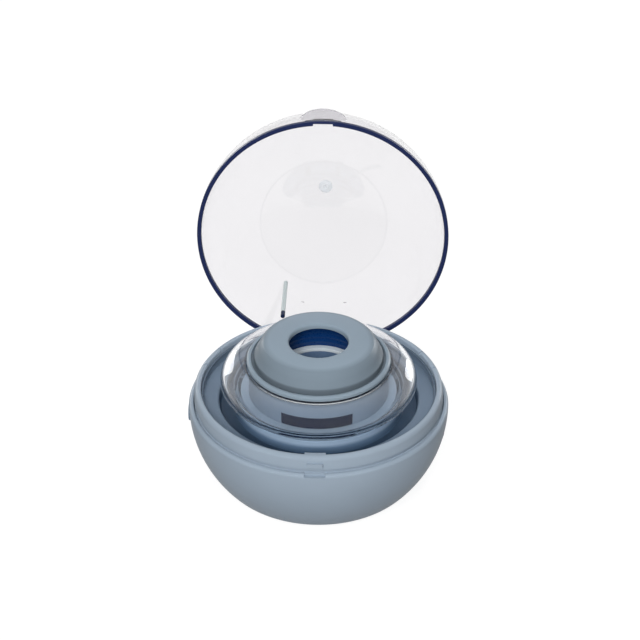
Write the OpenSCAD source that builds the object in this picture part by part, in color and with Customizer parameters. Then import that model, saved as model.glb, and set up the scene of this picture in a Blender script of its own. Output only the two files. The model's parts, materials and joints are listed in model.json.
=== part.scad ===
// Portable ultraviolet sterilizer case for a pacifier: a ball-shaped base under a clear hinged lid.
// The origin lies on the base's axis, on the surface that it stands on.
// +Z is up, the front is -Y, and the lid stands open at the back, towards +Y.

/* [Body] */
// Radius of the body at its widest line
body_r = 45; // [43:0.5:50]
// Height of the widest line above the surface
belly_z = 30; // [29:0.5:34]
// Depth of the egg-shaped belly below its widest line
belly_depth = 43; // [42:0.5:47]
// Radius that rounds the belly into the flat underside
corner_r = 8; // [6:0.5:12]
// Wall thickness of the body
wall = 2.4; // [2:0.1:3]
// Rise from the widest line to the parting line
lip_rise = 1.5; // [1.2:0.1:2.5]
// Width of the body's lip, which the lid closes on
lip_w = 1.6; // [1.4:0.1:2]
// Depth of the rebate that the rim ring stands in
rebate_depth = 3; // [2:0.25:4]
// Height of the seam between the body and its bottom cover
seam_z = 2.6; // [2.4:0.1:3.2]
// Width of that seam
seam_gap = 0.2; // [0.1:0.05:0.4]
// Width of the thumb recess below the lid's tab
thumb_w = 7; // [5:0.5:9]
// Depth of the thumb recess
thumb_depth = 1; // [0.8:0.1:2]

/* [Bottom cover] */
// How far the round rubber pad stands below the cover
grip_proud = 0.4; // [0.2:0.1:1]
// Depth of that pad's recess in the cover
grip_recess = 0.6; // [0.3:0.1:1]
// Radius of the rubber pad
grip_r = 20; // [17:0.5:21]
// Thickness of the flange inside the body that the cover is screwed to
flange_t = 1.8; // [1.4:0.1:2.4]
// Inner radius of that flange
flange_r = 20.5; // [20.3:0.1:21]
// Radius of the circle of cover screws
cover_screw_circle_r = 24; // [23.6:0.1:24.2]
// Radius of a screw's shank
screw_r = 1; // [0.8:0.1:1.2]
// Radius of a screw's head
screw_head_r = 1.9; // [1.7:0.1:2.2]
// Height of a screw's head
screw_head_h = 1.2; // [0.8:0.1:1.5]

/* [Electronics] */
// Height of the main board's underside
board_z = 15; // [13:0.5:17]
// Thickness of the main board
board_t = 1.6; // [1:0.2:2]
// Radius of the main board
board_r = 33; // [31:0.5:35]
// Width of the main board's two tongues
tongue_w = 15; // [13:0.5:17]
// Radius of the circle of case screws
case_screw_circle_r = 25; // [24.5:0.25:26]
// Outer radius of a screw boss
boss_r = 2.6; // [2.4:0.1:3]
// Length of the battery
battery_l = 34; // [28:1:36]
// Width of the battery
battery_w = 20; // [16:1:22]
// Thickness of the battery
battery_t = 7; // [5:0.5:8]
// Thickness of the foam pad below the battery
pad_t = 1; // [0.5:0.25:1.5]
// Width of the charging socket
socket_w = 8.9; // [8:0.1:9.5]
// Height of the charging socket
socket_h = 3.2; // [2.8:0.1:3.6]
// Depth of the charging socket
socket_l = 7.3; // [6.5:0.1:8]
// Width of the port's rubber flap
flap_w = 12.4; // [12:0.2:14]
// Height of the port's rubber flap
flap_h = 5.4; // [5:0.1:6.5]
// Thickness of the flap's skin
flap_t = 0.9; // [0.7:0.1:1.1]

/* [Power button] */
// Radius of the button
button_r = 3.2; // [2.5:0.1:3.6]
// Wall between the button's hole and the ring's rebate
button_web = 0.4; // [0.3:0.1:1.5]
// How far the button stands proud of the body
button_proud = 0.7; // [0.3:0.1:1.2]
// Travel of the button
button_travel = 0.4; // [0.2:0.1:0.6]

/* [Rim ring and tray] */
// Height of the rim ring's top above the parting line
ring_rise = 5.6; // [4.5:0.1:7]
// Width of the rim ring's top
ring_w = 2.4; // [2.1:0.1:3]
// Radius that rounds the rim ring's outer top edge
ring_round = 1.6; // [1:0.1:2]
// Thickness of the rim ring's skirt
skirt_t = 1; // [0.8:0.1:1.4]
// Half width of the gap in the rim ring at the hinge
ring_gap_half = 16.5; // [16:0.25:19]
// Height of the tray's shoulder above the parting line
shoulder_rise = 0.8; // [0.4:0.1:1.4]
// Thickness of the tray
tray_t = 1.4; // [1:0.1:1.8]
// Width of the shoulder, from the rim ring in to the channel
shoulder_w = 7.2; // [5.8:0.2:7.8]
// Depth of the tray's channel below the parting line
channel_drop = 3; // [2:0.5:4]
// Thickness of the tray's wall inside the rim ring
liner_t = 0.7; // [0.5:0.1:1]
// Width of the tray's deck outside the sleeve
deck_over = 5.2; // [4.6:0.2:6]
// Height of the tray's deck above the parting line
deck_rise = 2; // [1.4:0.1:2.2]
// Width of the dark gap between the rim ring and the body's lip
shadow_gap_w = 0.6; // [0.3:0.1:0.7]
// Height of that gap above the parting line
shadow_gap_h = 0.7; // [0.3:0.1:1.2]
// Width of the catch nub on the front of the rim ring
nub_w = 5.3; // [4:0.1:6]
// Height of the catch nub
nub_h = 1.6; // [1.2:0.1:2.5]
// How far the catch nub stands proud
nub_proud = 0.7; // [0.4:0.1:0.8]
// Width of the rib behind the nub, on the rim ring's inner edge
nub_rib_w = 7; // [5:0.5:9]
// How far that rib stands in from the edge
nub_rib_in = 0.8; // [0.4:0.1:1]

/* [Chamber] */
// How far the clear dome swells out beyond the pedestal
dome_swell = 4.9; // [4:0.1:5.6]
// Height of the dome's widest line above the parting line
dome_mid_rise = 8; // [7:0.25:9]
// Height of the dome's top edge above the parting line
dome_top_rise = 15; // [14.5:0.1:16]
// Wall thickness of the clear dome
dome_t = 1.5; // [1:0.1:2]
// Thickness of the reflector dish in the dome
dish_t = 1; // [0.8:0.1:1.2]
// Outer radius of the sleeve that carries the cap
sleeve_r = 23.8; // [23.4:0.1:24.4]
// Wall thickness of that sleeve
sleeve_t = 1.6; // [1.3:0.1:1.9]
// Half angle of the dark window in the sleeve's front
window_half_deg = 30; // [20:1:36]
// Height of that window
window_h = 4.6; // [4:0.2:6]
// Width from the sleeve's outside in to the outside of the teat well
well_in = 7.2; // [6.6:0.1:7.8]
// Width of the ledge between the well's upper and lower part
ledge_w = 2.3; // [1.8:0.1:3]
// Wall thickness of the teat well
well_t = 1.4; // [1:0.1:1.8]
// Height of the well's pale ledge above the parting line
ledge_rise = 11.6; // [10:0.2:12.6]
// Depth of the well's floor below the parting line
well_drop = 4.5; // [4:0.1:5.5]
// Thickness of the clear disc that closes the well
disc_t = 1.2; // [1:0.1:1.5]

/* [Holder cap] */
// Height of the cap's top above the parting line
cap_rise = 23.6; // [23:0.2:26]
// Radius of the hole for the teat
hole_r = 10.2; // [9.5:0.1:11]
// How far the cap's flange stands out beyond the sleeve
cap_over = 0.9; // [0.7:0.1:1.4]
// Width of the cap's flange, from the groove above it out to its edge
flange_w = 2.5; // [2:0.1:3]
// Width of the cap's rounded side, from the flat top out to that groove
cap_side_w = 4.9; // [4.5:0.1:5.5]
// Width of the groove
groove_w = 0.9; // [0.5:0.1:1.2]
// Depth of the groove
groove_depth = 0.9; // [0.3:0.1:1.1]
// Thickness of the cap's flange
cap_flange_t = 1.7; // [1.3:0.1:2]
// Wall thickness of the cap
cap_t = 2; // [1.6:0.1:2.2]
// Thickness of the cap's gasket
gasket_t = 0.6; // [0.4:0.1:0.8]
// Length of the cap's skirt in the sleeve
cap_skirt_l = 3; // [2:0.5:4]

/* [Lid] */
// How far the lid's rim stands outside the body
lid_over = 0.1; // [0:0.05:0.5]
// Wall thickness of the lid
lid_t = 1.5; // [1.2:0.1:1.5]
// Height of the lid's dark rim band
band_h = 1.6; // [1.2:0.1:2.2]
// Gap between the closed lid and the body's lip
lid_gap = 0.35; // [0.3:0.05:0.6]
// Angle between the closed lid and the open lid
lid_open_deg = 94; // [92:0.5:98]
// Half width of the finger tab
tab_half = 8.2; // [6:0.1:9]
// How far the finger tab stands out
tab_out = 4.1; // [3:0.1:5]
// Thickness of the finger tab
tab_t = 1.2; // [1:0.1:1.4]
// Radius of the gate boss at the lid's crown
gate_r = 2.6; // [2:0.1:3.2]
// Height of the gate boss
gate_h = 0.9; // [0.6:0.1:1.4]

/* [Hinge and interlock] */
// Distance from the body's widest radius in to the hinge axis
hinge_in = 4; // [3.9:0.05:4.3]
// Depth of the hinge axis below the parting line
hinge_drop = 6; // [5.6:0.1:6.4]
// Radius of the hinge pin
pin_r = 1; // [0.8:0.05:1.1]
// Radius of a hinge arm's knuckle
knuckle_r = 2.2; // [2:0.1:2.4]
// Centre of each hinge arm from the middle
arm_x = 8; // [7.5:0.1:9]
// Thickness of a hinge arm
arm_t = 2.4; // [2:0.1:2.8]
// Width of a hinge arm's web
arm_w = 2; // [1.6:0.1:2.2]
// Height of the ribs that continue the arms up the lid's wall
rib_h = 19; // [12:1:20]
// How far those ribs stand in from the wall
rib_in = 1.2; // [0.8:0.1:1.6]
// Sideways place of the interlock post
post_x = -14.5; // [-15:0.1:-13.5]
// How far behind the shoulder's inner edge the post stands
post_in = 0.5; // [0.3:0.1:0.9]
// Radius of the interlock post
post_r = 0.8; // [0.6:0.1:0.9]
// Depth of the closed post's tip below the shoulder
post_dip = 1.1; // [0.8:0.1:1.3]
// Length of the magnet in the post's tip
magnet_l = 3; // [2:0.5:6]

/* [Fits] */
// Clearance between pieces that fit into each other
fit = 0.3; // [0.2:0.05:0.4]
// Running clearance of the hinge pin in the arms
pin_fit = 0.05; // [0.02:0.01:0.1]
// Clearance beside the hinge arms
arm_gap = 0.4; // [0.3:0.05:0.6]

/* [Hidden] */

$fn = 96;
CUT = 1; // how far a cutting shape runs past the face that it cuts
BIG = 200; // larger than the whole object

// Heights of the main levels
part_z = belly_z + lip_rise;
cover_z = grip_proud;
flange_z = seam_z + flange_t;
board_top = board_z + board_t;
shoulder_z = part_z + shoulder_rise;
ring_z = part_z + ring_rise;
channel_z = part_z - channel_drop;
deck_z = part_z + deck_rise;
dish_z = deck_z + dish_t;
dome_mid_z = part_z + dome_mid_rise;
dome_top_z = part_z + dome_top_rise;
cap_z = part_z + cap_rise;
CAP_SLOPE = 0.6; // fall of the cap's underside from its hole to the edge of its flat top
sleeve_top = dome_top_z - gasket_t + 0.2;
gasket_z = sleeve_top;
cap_under = gasket_z + gasket_t;
ledge_z = part_z + ledge_rise;
well_floor = part_z - well_drop;
disc_z = well_floor - disc_t;
led_board_t = 1.2;
led_h = 1.1;
led_w = 3.5;
led_in = 4.5; // from the axis to a lamp's near side
led_board_z = disc_z - fit - led_h - led_board_t;

// Radii of the rim
rebate_r = body_r - lip_w;
ring_r = rebate_r - fit;
ring_in_r = ring_r - ring_w;
skirt_in_r = ring_r - skirt_t;
tray_r = skirt_in_r - fit;
shoulder_r = tray_r - shoulder_w;
lid_r = body_r + lid_over;
lid_in_r = lid_r - lid_t;
lid_z = part_z - 0.2 + lid_gap;

// Radii of the chamber and its cap, all from the sleeve
pedestal_r = sleeve_r + deck_over;
dome_r = pedestal_r + dome_swell;
cap_r = sleeve_r + cap_over;
groove_r = cap_r - flange_w;
cap_flat_r = groove_r - cap_side_w;

// The hinge: its axis, and the bay that it needs in the body's back
hinge_y = body_r - hinge_in;
hinge_z = part_z - hinge_drop;
arm_in = arm_x - arm_t / 2;
arm_out = arm_x + arm_t / 2;
bay_half = arm_out + arm_gap;
bay_z = hinge_z - arm_w - 1.8;
block_half = arm_in - arm_gap;
arm_bay_y = hinge_y - knuckle_r - arm_gap;

// The charging port and the power button
port_z = board_top + socket_h / 2;
rebate_z = part_z - rebate_depth;
button_z = rebate_z - button_web - fit - button_r;

// Outline of the belly: a quarter ellipse that a circle rounds into the flat underside.
// Its points are given by the ellipse's own angle, from 0 at the widest line down towards 90.
function belly_normal(t, a, b) = let (n = [cos(t) / a, sin(t) / b]) n / norm(n);
function corner_centre(t, a, b, r) = [a * cos(t), belly_z - b * sin(t)]
    - r * [belly_normal(t, a, b)[0], -belly_normal(t, a, b)[1]];
function corner_t(a, b, r, floor_z, low = 0, high = 89, n = 30) = let (mid = (low + high) / 2)
    n == 0 ? mid
    : corner_centre(mid, a, b, r)[1] > floor_z + r ? corner_t(a, b, r, floor_z, mid, high, n - 1)
    : corner_t(a, b, r, floor_z, low, mid, n - 1);
function belly_outline(a, b, r, floor_z, steps = 24) =
    let (t = corner_t(a, b, r, floor_z))
    let (c = corner_centre(t, a, b, r))
    let (lean = atan2(belly_normal(t, a, b)[1], belly_normal(t, a, b)[0]))
    concat([[0, floor_z]],
        [for (i = [0 : 8]) let (g = -90 + (90 - lean) * i / 8) c + r * [cos(g), sin(g)]],
        [for (i = [1 : steps]) let (g = t * (1 - i / steps)) [a * cos(g), belly_z - b * sin(g)]]);
function belly_r_at(z, inset = 0) =
    (body_r - inset) * sqrt(1 - pow((belly_z - z) / (belly_depth - inset), 2));

// Points along an arc of an ellipse
function arc_points(c, a, b, from, to, n) =
    [for (i = [0 : n]) let (g = from + (to - from) * i / n) c + [a * cos(g), b * sin(g)]];

module tube(r_out, r_in, h, z = 0) {
    translate([0, 0, z])
        difference() {
            cylinder(r = r_out, h = h);
            translate([0, 0, -CUT])
                cylinder(r = r_in, h = h + 2 * CUT);
        }
}

module at_angles(angles, r) {
    for (a = angles)
        rotate([0, 0, a])
            translate([r, 0, 0])
                children();
}

// A screw that stands head down, with its head's underside face at z = 0
module screw(length, shank_r = screw_r) {
    cylinder(r = screw_head_r, h = screw_head_h, $fn = 32);
    translate([0, 0, screw_head_h])
        cylinder(r = shank_r, h = length, $fn = 32);
}

module along_x(x, y, z) {
    translate([x, y, z])
        rotate([0, 90, 0])
            children();
}

COVER_SCREW_ANGLES = [for (i = [0 : 3]) 90 * i];
CASE_SCREW_ANGLES = [for (i = [0 : 3]) 45 + 90 * i];
SHELL_COLOUR = [0.63, 0.70, 0.77];
TRAY_COLOUR = [0.40, 0.48, 0.57];
NAVY = [0.08, 0.12, 0.28];
CLEAR = [0.85, 0.89, 0.93, 0.4];
STEEL = [0.75, 0.76, 0.78];
BOARD_GREEN = [0.08, 0.35, 0.22];
BLACK = [0.10, 0.10, 0.12];

// ---- Body ----

// The round lip: a flat for the lid to close on, then a round edge down to the widest line
LIP_ROUND = 1.2;
lip_z = part_z - 0.2;
function body_solid_outline() = concat(
    belly_outline(body_r, belly_depth, corner_r, cover_z),
    arc_points([body_r - LIP_ROUND, lip_z - LIP_ROUND], LIP_ROUND, LIP_ROUND, 0, 90, 8),
    [[0, lip_z]]);
function body_hollow_outline() = concat(
    belly_outline(body_r - wall, belly_depth - wall, corner_r - wall, cover_z + wall),
    [[body_r - wall, part_z + CUT], [0, part_z + CUT]]);

cover_boss_h = 8; // how far a cover screw's boss reaches up from the seam
cover_bore_l = cover_boss_h - 1; // depth of the screw's bore in it

module base_shell() {
    color(SHELL_COLOUR)
    difference() {
        union() {
            difference() {
                rotate_extrude()
                    polygon(body_solid_outline());
                rotate_extrude()
                    polygon(body_hollow_outline());
            }
            // flange above the bottom cover, with the bosses on it
            intersection() {
                tube(BIG, flange_r, flange_t, seam_z);
                rotate_extrude()
                    polygon(body_solid_outline());
            }
            at_angles(CASE_SCREW_ANGLES, case_screw_circle_r)
                translate([0, 0, seam_z])
                    cylinder(r = boss_r, h = board_z - seam_z, $fn = 48);
            at_angles(COVER_SCREW_ANGLES, cover_screw_circle_r)
                translate([0, 0, seam_z])
                    cylinder(r = boss_r, h = cover_boss_h, $fn = 48);
            button_guide();
        }
        // mouth for the bottom cover, and the flange's opening above it
        translate([0, 0, -CUT])
            cylinder(r = BIG, h = seam_z + CUT);
        translate([0, 0, -CUT])
            cylinder(r = flange_r, h = flange_z + CUT);
        // rebate for the rim ring
        translate([0, 0, rebate_z])
            cylinder(r = rebate_r, h = BIG);
        hinge_bay();
        // thumb recess below the lid's tab
        translate([-thumb_w / 2, -BIG - body_r + LIP_ROUND + 0.3, lip_z - thumb_depth])
            cube([thumb_w, BIG, thumb_depth + CUT]);
        // case screws, with their heads sunk in the bosses
        at_angles(CASE_SCREW_ANGLES, case_screw_circle_r) {
            translate([0, 0, seam_z - CUT])
                cylinder(r = screw_r + 0.1, h = BIG, $fn = 32);
            translate([0, 0, seam_z - CUT])
                cylinder(r = screw_head_r + 0.1, h = CUT + CASE_HEAD_SINK + screw_head_h, $fn = 32);
        }
        at_angles(COVER_SCREW_ANGLES, cover_screw_circle_r)
            translate([0, 0, seam_z - CUT])
                cylinder(r = screw_r + 0.02, h = CUT + cover_bore_l, $fn = 32);
        // port, with a shallow seat for its flap
        translate([belly_r_at(port_z, wall) - 3, -(socket_w + 2 * fit) / 2, port_z - socket_h / 2 - fit])
            cube([BIG, socket_w + 2 * fit, socket_h + 2 * fit]);
        flap_seat();
        along_x(-BIG, 0, button_z)
            cylinder(r = button_r + fit, h = BIG);
    }
}

CASE_HEAD_SINK = 0.4;

// The bay is open at the top and the back, so the hinge arms can swing out of it
module hinge_bay() {
    translate([-bay_half, arm_bay_y - 4, bay_z])
        cube([2 * bay_half, BIG, BIG]);
}

// A short sleeve inside the wall that guides the button
module button_guide() {
    intersection() {
        along_x(-belly_r_at(button_z), 0, button_z)
            cylinder(r = button_r + fit + 1, h = wall + 0.6);
        translate([0, 0, rebate_z - BIG])
            cylinder(r = body_r - wall / 2, h = BIG);
    }
}

// ---- Bottom cover and its rubber pad ----

module bottom_cover() {
    color(SHELL_COLOUR)
    difference() {
        intersection() {
            rotate_extrude()
                polygon(body_solid_outline());
            translate([0, 0, cover_z])
                cylinder(r = BIG, h = seam_z - seam_gap - cover_z);
        }
        translate([0, 0, cover_z - CUT])
            cylinder(r = grip_r + 0.1, h = CUT + grip_recess);
        at_angles(COVER_SCREW_ANGLES, cover_screw_circle_r) {
            translate([0, 0, cover_z - CUT])
                cylinder(r = screw_head_r + 0.1, h = CUT + screw_head_h, $fn = 32);
            cylinder(r = screw_r + 0.1, h = BIG, $fn = 32);
        }
    }
}

// The object stands on this pad
module grip_pad() {
    color(BLACK)
    cylinder(r = grip_r, h = grip_proud + grip_recess);
}

module cover_screws() {
    color(STEEL)
    at_angles(COVER_SCREW_ANGLES, cover_screw_circle_r)
        translate([0, 0, cover_z])
            screw(seam_z + cover_bore_l - 2 - cover_z - screw_head_h);
}

leg_bore_l = 8; // depth of the case screws' bores in the tray's legs

module case_screws() {
    color(STEEL)
    at_angles(CASE_SCREW_ANGLES, case_screw_circle_r)
        translate([0, 0, seam_z + CASE_HEAD_SINK])
            screw(board_top + leg_bore_l - 1.5 - seam_z - CASE_HEAD_SINK - screw_head_h);
}

// ---- Battery and boards ----

pad_z = seam_z - seam_gap;
battery_z = pad_z + pad_t;

module battery_pad() {
    color(BLACK)
    translate([-battery_l / 2 + 4, -battery_w / 2 + 3, pad_z])
        cube([battery_l - 8, battery_w - 6, pad_t]);
}

module battery() {
    color([0.72, 0.73, 0.75])
    hull()
        for (x = [-1, 1], y = [-1, 1])
            translate([x * (battery_l / 2 - 1.5), y * (battery_w / 2 - 1.5), battery_z])
                cylinder(r = 1.5, h = battery_t, $fn = 24);
}

LEAD_R = 0.6;
lead_y = 3; // the two wires leave the battery's right end, side by side

// A pair of insulated wires from the battery up to a plug below the main board
module battery_lead() {
    lead_x = battery_l / 2 + LEAD_R + 0.8;
    lead_z = battery_z + battery_t / 2;
    color([0.75, 0.12, 0.10]) {
        for (y = [-1, 1]) {
            along_x(battery_l / 2, lead_y + y * 0.7, lead_z)
                cylinder(r = LEAD_R, h = lead_x - battery_l / 2, $fn = 24);
            translate([lead_x, lead_y + y * 0.7, lead_z])
                sphere(r = LEAD_R, $fn = 24);
            translate([lead_x, lead_y + y * 0.7, lead_z])
                cylinder(r = LEAD_R, h = board_z - 3 - lead_z + 0.5, $fn = 24);
        }
        translate([lead_x - 2, lead_y - 3, board_z - 3])
            cube([4, 6, 3]);
    }
}

module main_board() {
    color(BOARD_GREEN)
    difference() {
        union() {
            translate([0, 0, board_z])
                cylinder(r = board_r, h = board_t);
            // tongues that carry the charging socket and the switch board out to the wall
            translate([0, -tongue_w / 2, board_z])
                cube([belly_r_at(board_z, wall) - 0.8, tongue_w, board_t]);
            translate([switch_board_x - 0.5, -tongue_w / 2, board_z])
                cube([board_r, tongue_w, board_t]);
        }
        at_angles(CASE_SCREW_ANGLES, case_screw_circle_r)
            translate([0, 0, board_z - CUT])
                cylinder(r = screw_r + 0.15, h = board_t + 2 * CUT, $fn = 32);
    }
}

// Chips on the main board, each as its place, then its size
CHIPS = [[[-16, -6], [7, 7, 1]], [[8, 10], [5, 4, 1.2]], [[10, -15], [6, 6, 3]], [[-6, 17], [4, 3, 1]]];

module board_chips() {
    color(BLACK)
    for (chip = CHIPS)
        translate([chip[0][0], chip[0][1], board_top])
            cube(chip[1]);
}

socket_out = belly_r_at(port_z, wall) + 0.2; // the socket's mouth lies in the thickness of the wall

module charging_socket() {
    color(STEEL)
    difference() {
        translate([socket_out - socket_l, -socket_w / 2, board_top])
            cube([socket_l, socket_w, socket_h]);
        translate([socket_out - socket_l + 1.5, -socket_w / 2 + 0.3, board_top + 0.3])
            cube([BIG, socket_w - 0.6, socket_h - 0.6]);
    }
    // contact tongue in the socket's middle
    color(BLACK)
    translate([socket_out - socket_l + 1, -socket_w / 2 + 1.2, port_z - 0.35])
        cube([socket_l - 1.8, socket_w - 2.4, 0.7]);
}

// The flap follows the wall's curve; its seat is as deep as its skin
module flap_shape(grow, depth, proud) {
    intersection() {
        translate([0, -flap_w / 2 - grow, port_z - flap_h / 2 - grow])
            cube([BIG, flap_w + 2 * grow, flap_h + 2 * grow]);
        difference() {
            skin(proud);
            skin(-depth);
        }
    }
}

// The body's outer surface, moved out by a distance
module skin(out) {
    rotate_extrude()
        polygon(concat([[0, 0]],
            [for (i = [0 : 12]) let (z = port_z - 6 + i) [belly_r_at(z) + out, z]],
            [[0, port_z + 6]]));
}

module flap_seat() {
    flap_shape(0.15, flap_t + 0.15, 2);
}

module port_flap() {
    color(SHELL_COLOUR) {
        flap_shape(0, flap_t, 0.15);
        // plug that fills the socket's mouth
        translate([socket_out + 0.15, -socket_w / 2 + 0.6, port_z - socket_h / 2 + 0.6])
            cube([belly_r_at(port_z) - flap_t - socket_out - 0.1, socket_w - 1.2, socket_h - 1.2]);
    }
}

// ---- Power button ----

button_back = -belly_r_at(button_z, wall) + 1.4; // the button's inner face

module power_button() {
    color(TRAY_COLOUR)
    along_x(-belly_r_at(button_z) - button_proud, 0, button_z)
        cylinder(r = button_r, h = belly_r_at(button_z) + button_proud + button_back);
}

switch_w = 4.4;
switch_l = 3.4;
switch_board_w = tongue_w - 2;
plunger_r = 1.6;
plunger_l = 1.2;

module switch_plunger() {
    color(BLACK)
    along_x(button_back, 0, button_z)
        cylinder(r = plunger_r, h = plunger_l + 1, $fn = 48);
}

module button_switch() {
    color(STEEL)
    difference() {
        translate([button_back + plunger_l, -switch_w / 2, button_z - switch_w / 2])
            cube([switch_l, switch_w, switch_w]);
        along_x(button_back, 0, button_z)
            cylinder(r = plunger_r + 0.15, h = plunger_l + 1 + button_travel + 0.2, $fn = 48);
    }
}

switch_board_x = button_back + plunger_l + switch_l;

module switch_board() {
    color(BOARD_GREEN)
    translate([switch_board_x, -switch_board_w / 2, board_top])
        cube([1, switch_board_w, channel_z - tray_t - fit - board_top]);
}

// ---- Rim ring and tray ----

// Above the shoulder the ring stops short of the lid's post; below it only the hinge bay is cut
module ring_gap(low) {
    translate([-ring_gap_half, 0, low])
        cube([2 * ring_gap_half, BIG, BIG]);
}

SNAP_ANGLES = [23, 157];
SNAP_HALF_DEG = 7.4;
SLIT_W = 0.6;
SLIT_DEPTH = 1.2;
NUB_RIB_H = 1.8;

module rim_ring() {
    color(SHELL_COLOUR)
    difference() {
        union() {
            rotate_extrude()
                polygon(concat(
                    [[skirt_in_r, rebate_z + 0.1], [ring_r, rebate_z + 0.1]],
                    [[ring_r, lip_z - 0.8], [ring_r - shadow_gap_w, lip_z - 0.5]],
                    [[ring_r - shadow_gap_w, part_z + shadow_gap_h - 0.3], [ring_r, part_z + shadow_gap_h]],
                    [[ring_r - 0.1, ring_z - ring_round - 1]],
                    arc_points([ring_r - 0.2 - ring_round, ring_z - ring_round],
                        ring_round, ring_round, 0, 90, 8),
                    [[ring_in_r + 0.3, ring_z - 0.05], [ring_in_r, ring_z - 0.4]],
                    [[ring_in_r, shoulder_z + 0.05], [skirt_in_r, shoulder_z + 0.05]]));
            // catch nub at the front
            intersection() {
                translate([-nub_w / 2, -BIG, nub_z - nub_h / 2])
                    cube([nub_w, BIG, nub_h]);
                tube(ring_r + nub_proud - 0.1, ring_r - 1, BIG);
            }
            // rib behind it, on the inner edge
            intersection() {
                translate([-nub_rib_w / 2, -BIG, ring_z - NUB_RIB_H])
                    cube([nub_rib_w, BIG, NUB_RIB_H - 0.1]);
                tube(ring_in_r + 1, ring_in_r - nub_rib_in, BIG);
            }
        }
        ring_gap(shoulder_z + 0.1);
        hinge_bay();
        // slits beside the two snap tabs
        for (a = SNAP_ANGLES, side = [-1, 1])
            rotate([0, 0, a + side * SNAP_HALF_DEG])
                translate([ring_in_r - CUT, -SLIT_W / 2, ring_z - SLIT_DEPTH])
                    cube([ring_w - 0.5 + CUT, SLIT_W, SLIT_DEPTH + CUT]);
    }
}

nub_z = part_z + 2.6;

PEDESTAL_WALL = 1.4;
LINER_GAP = 0.1; // between the rim ring's inner wall and the tray's wall inside it
LINER_TOP_Z = ring_z - NUB_RIB_H - 0.1;
well_out_r = sleeve_r - well_in;
well_r = well_out_r - well_t; // inner radius above the ledge
well_low_r = well_r - ledge_w; // inner radius below the ledge
led_screw_circle_r = well_low_r + well_t + 1.8;

module inner_tray() {
    color(TRAY_COLOUR)
    difference() {
        union() {
            rotate_extrude()
                polygon([
                    [well_opening_r, deck_z - tray_t], [well_opening_r, deck_z],
                    [pedestal_r, deck_z], [pedestal_r, channel_z],
                    [shoulder_r - 0.6, channel_z], [shoulder_r, shoulder_z - 0.5],
                    [shoulder_r + 0.5, shoulder_z], [tray_r, shoulder_z], [tray_r, shoulder_z - tray_t],
                    [shoulder_r + tray_t, shoulder_z - tray_t], [shoulder_r + tray_t - 0.6, channel_z - tray_t],
                    [pedestal_r - PEDESTAL_WALL, channel_z - tray_t],
                    [pedestal_r - PEDESTAL_WALL, deck_z - tray_t]]);
            // wall inside the rim ring, open at the hinge
            difference() {
                tube(ring_in_r - LINER_GAP, ring_in_r - LINER_GAP - liner_t,
                    LINER_TOP_Z - shoulder_z + tray_t / 2, shoulder_z - tray_t / 2);
                ring_gap(shoulder_z);
            }
            at_angles(CASE_SCREW_ANGLES, case_screw_circle_r)
                translate([0, 0, board_top])
                    cylinder(r = boss_r, h = deck_z - board_top, $fn = 48);
            // pocket that the lid's magnet dips into
            translate([post_x, post_y + POCKET_SHIFT, pocket_floor - POCKET_WALL])
                cylinder(r = pocket_r + 1, h = POCKET_DEPTH + POCKET_WALL, $fn = 48);
        }
        at_angles(CASE_SCREW_ANGLES, case_screw_circle_r)
            translate([0, 0, board_top - CUT])
                cylinder(r = screw_r + 0.02, h = leg_bore_l + CUT, $fn = 32);
        translate([post_x, post_y + POCKET_SHIFT, pocket_floor])
            cylinder(r = pocket_r, h = BIG, $fn = 48);
        arm_slots();
        // pilot holes for the hinge block's screws
        for (s = [-1, 1])
            translate([s * HINGE_SCREW_X, hinge_screw_y, block_top - CUT])
                cylinder(r = HINGE_SCREW_R + 0.02, h = CUT + 1, $fn = 32);
    }
}

POCKET_SHIFT = 0.4; // the tip swings back as it rises, so its pocket lies a little behind it
POCKET_DEPTH = 1.6;
POCKET_WALL = 0.8;
pocket_r = post_r + 1.2;
pocket_floor = shoulder_z - POCKET_DEPTH;

module arm_slots() {
    for (s = [-1, 1])
        translate([s * arm_x - arm_t / 2 - arm_gap, hinge_y - arm_w, bay_z])
            cube([arm_t + 2 * arm_gap, BIG, BIG]);
}

// ---- Hinge ----

block_top = shoulder_z - tray_t;
block_front_y = shoulder_r + tray_t + fit; // just behind the tray's wall
HINGE_SCREW_R = 0.8;
HINGE_SCREW_X = 3.4;
hinge_screw_y = block_front_y + 2.4;

// Block that fills the bay between the two arms and holds the pin
module hinge_block() {
    color(SHELL_COLOUR)
    difference() {
        intersection() {
            translate([-block_half, block_front_y, bay_z + fit])
                cube([2 * block_half, BIG, block_top - bay_z - fit]);
            rotate_extrude()
                polygon(body_solid_outline());
        }
        along_x(-BIG / 2, hinge_y, hinge_z)
            cylinder(r = pin_r + 0.02, h = BIG, $fn = 48);
        for (s = [-1, 1])
            translate([s * HINGE_SCREW_X, hinge_screw_y, bay_z]) {
                cylinder(r = HINGE_SCREW_R + 0.1, h = BIG, $fn = 32);
                cylinder(r = screw_head_r + 0.1, h = fit + screw_head_h + 0.3, $fn = 32);
            }
    }
}

module hinge_screws() {
    color(STEEL)
    for (s = [-1, 1])
        translate([s * HINGE_SCREW_X, hinge_screw_y, bay_z + fit + 0.3])
            screw(block_top + 0.9 - bay_z - fit - 0.3 - screw_head_h, HINGE_SCREW_R);
}

module hinge_pin() {
    color(STEEL)
    along_x(-arm_out - 0.1, hinge_y, hinge_z)
        cylinder(r = pin_r, h = 2 * arm_out + 0.2, $fn = 48);
}

// ---- Chamber ----

dome_foot_r = pedestal_r - 1;
dome_open_r = cap_r + fit;

module reflector_dish() {
    color([0.60, 0.66, 0.72])
    rotate_extrude()
        polygon([
            [well_opening_r, deck_z], [pedestal_r - 0.2, deck_z], [pedestal_r - 0.2, dish_z],
            [well_opening_r, dish_z]]);
}

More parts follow.
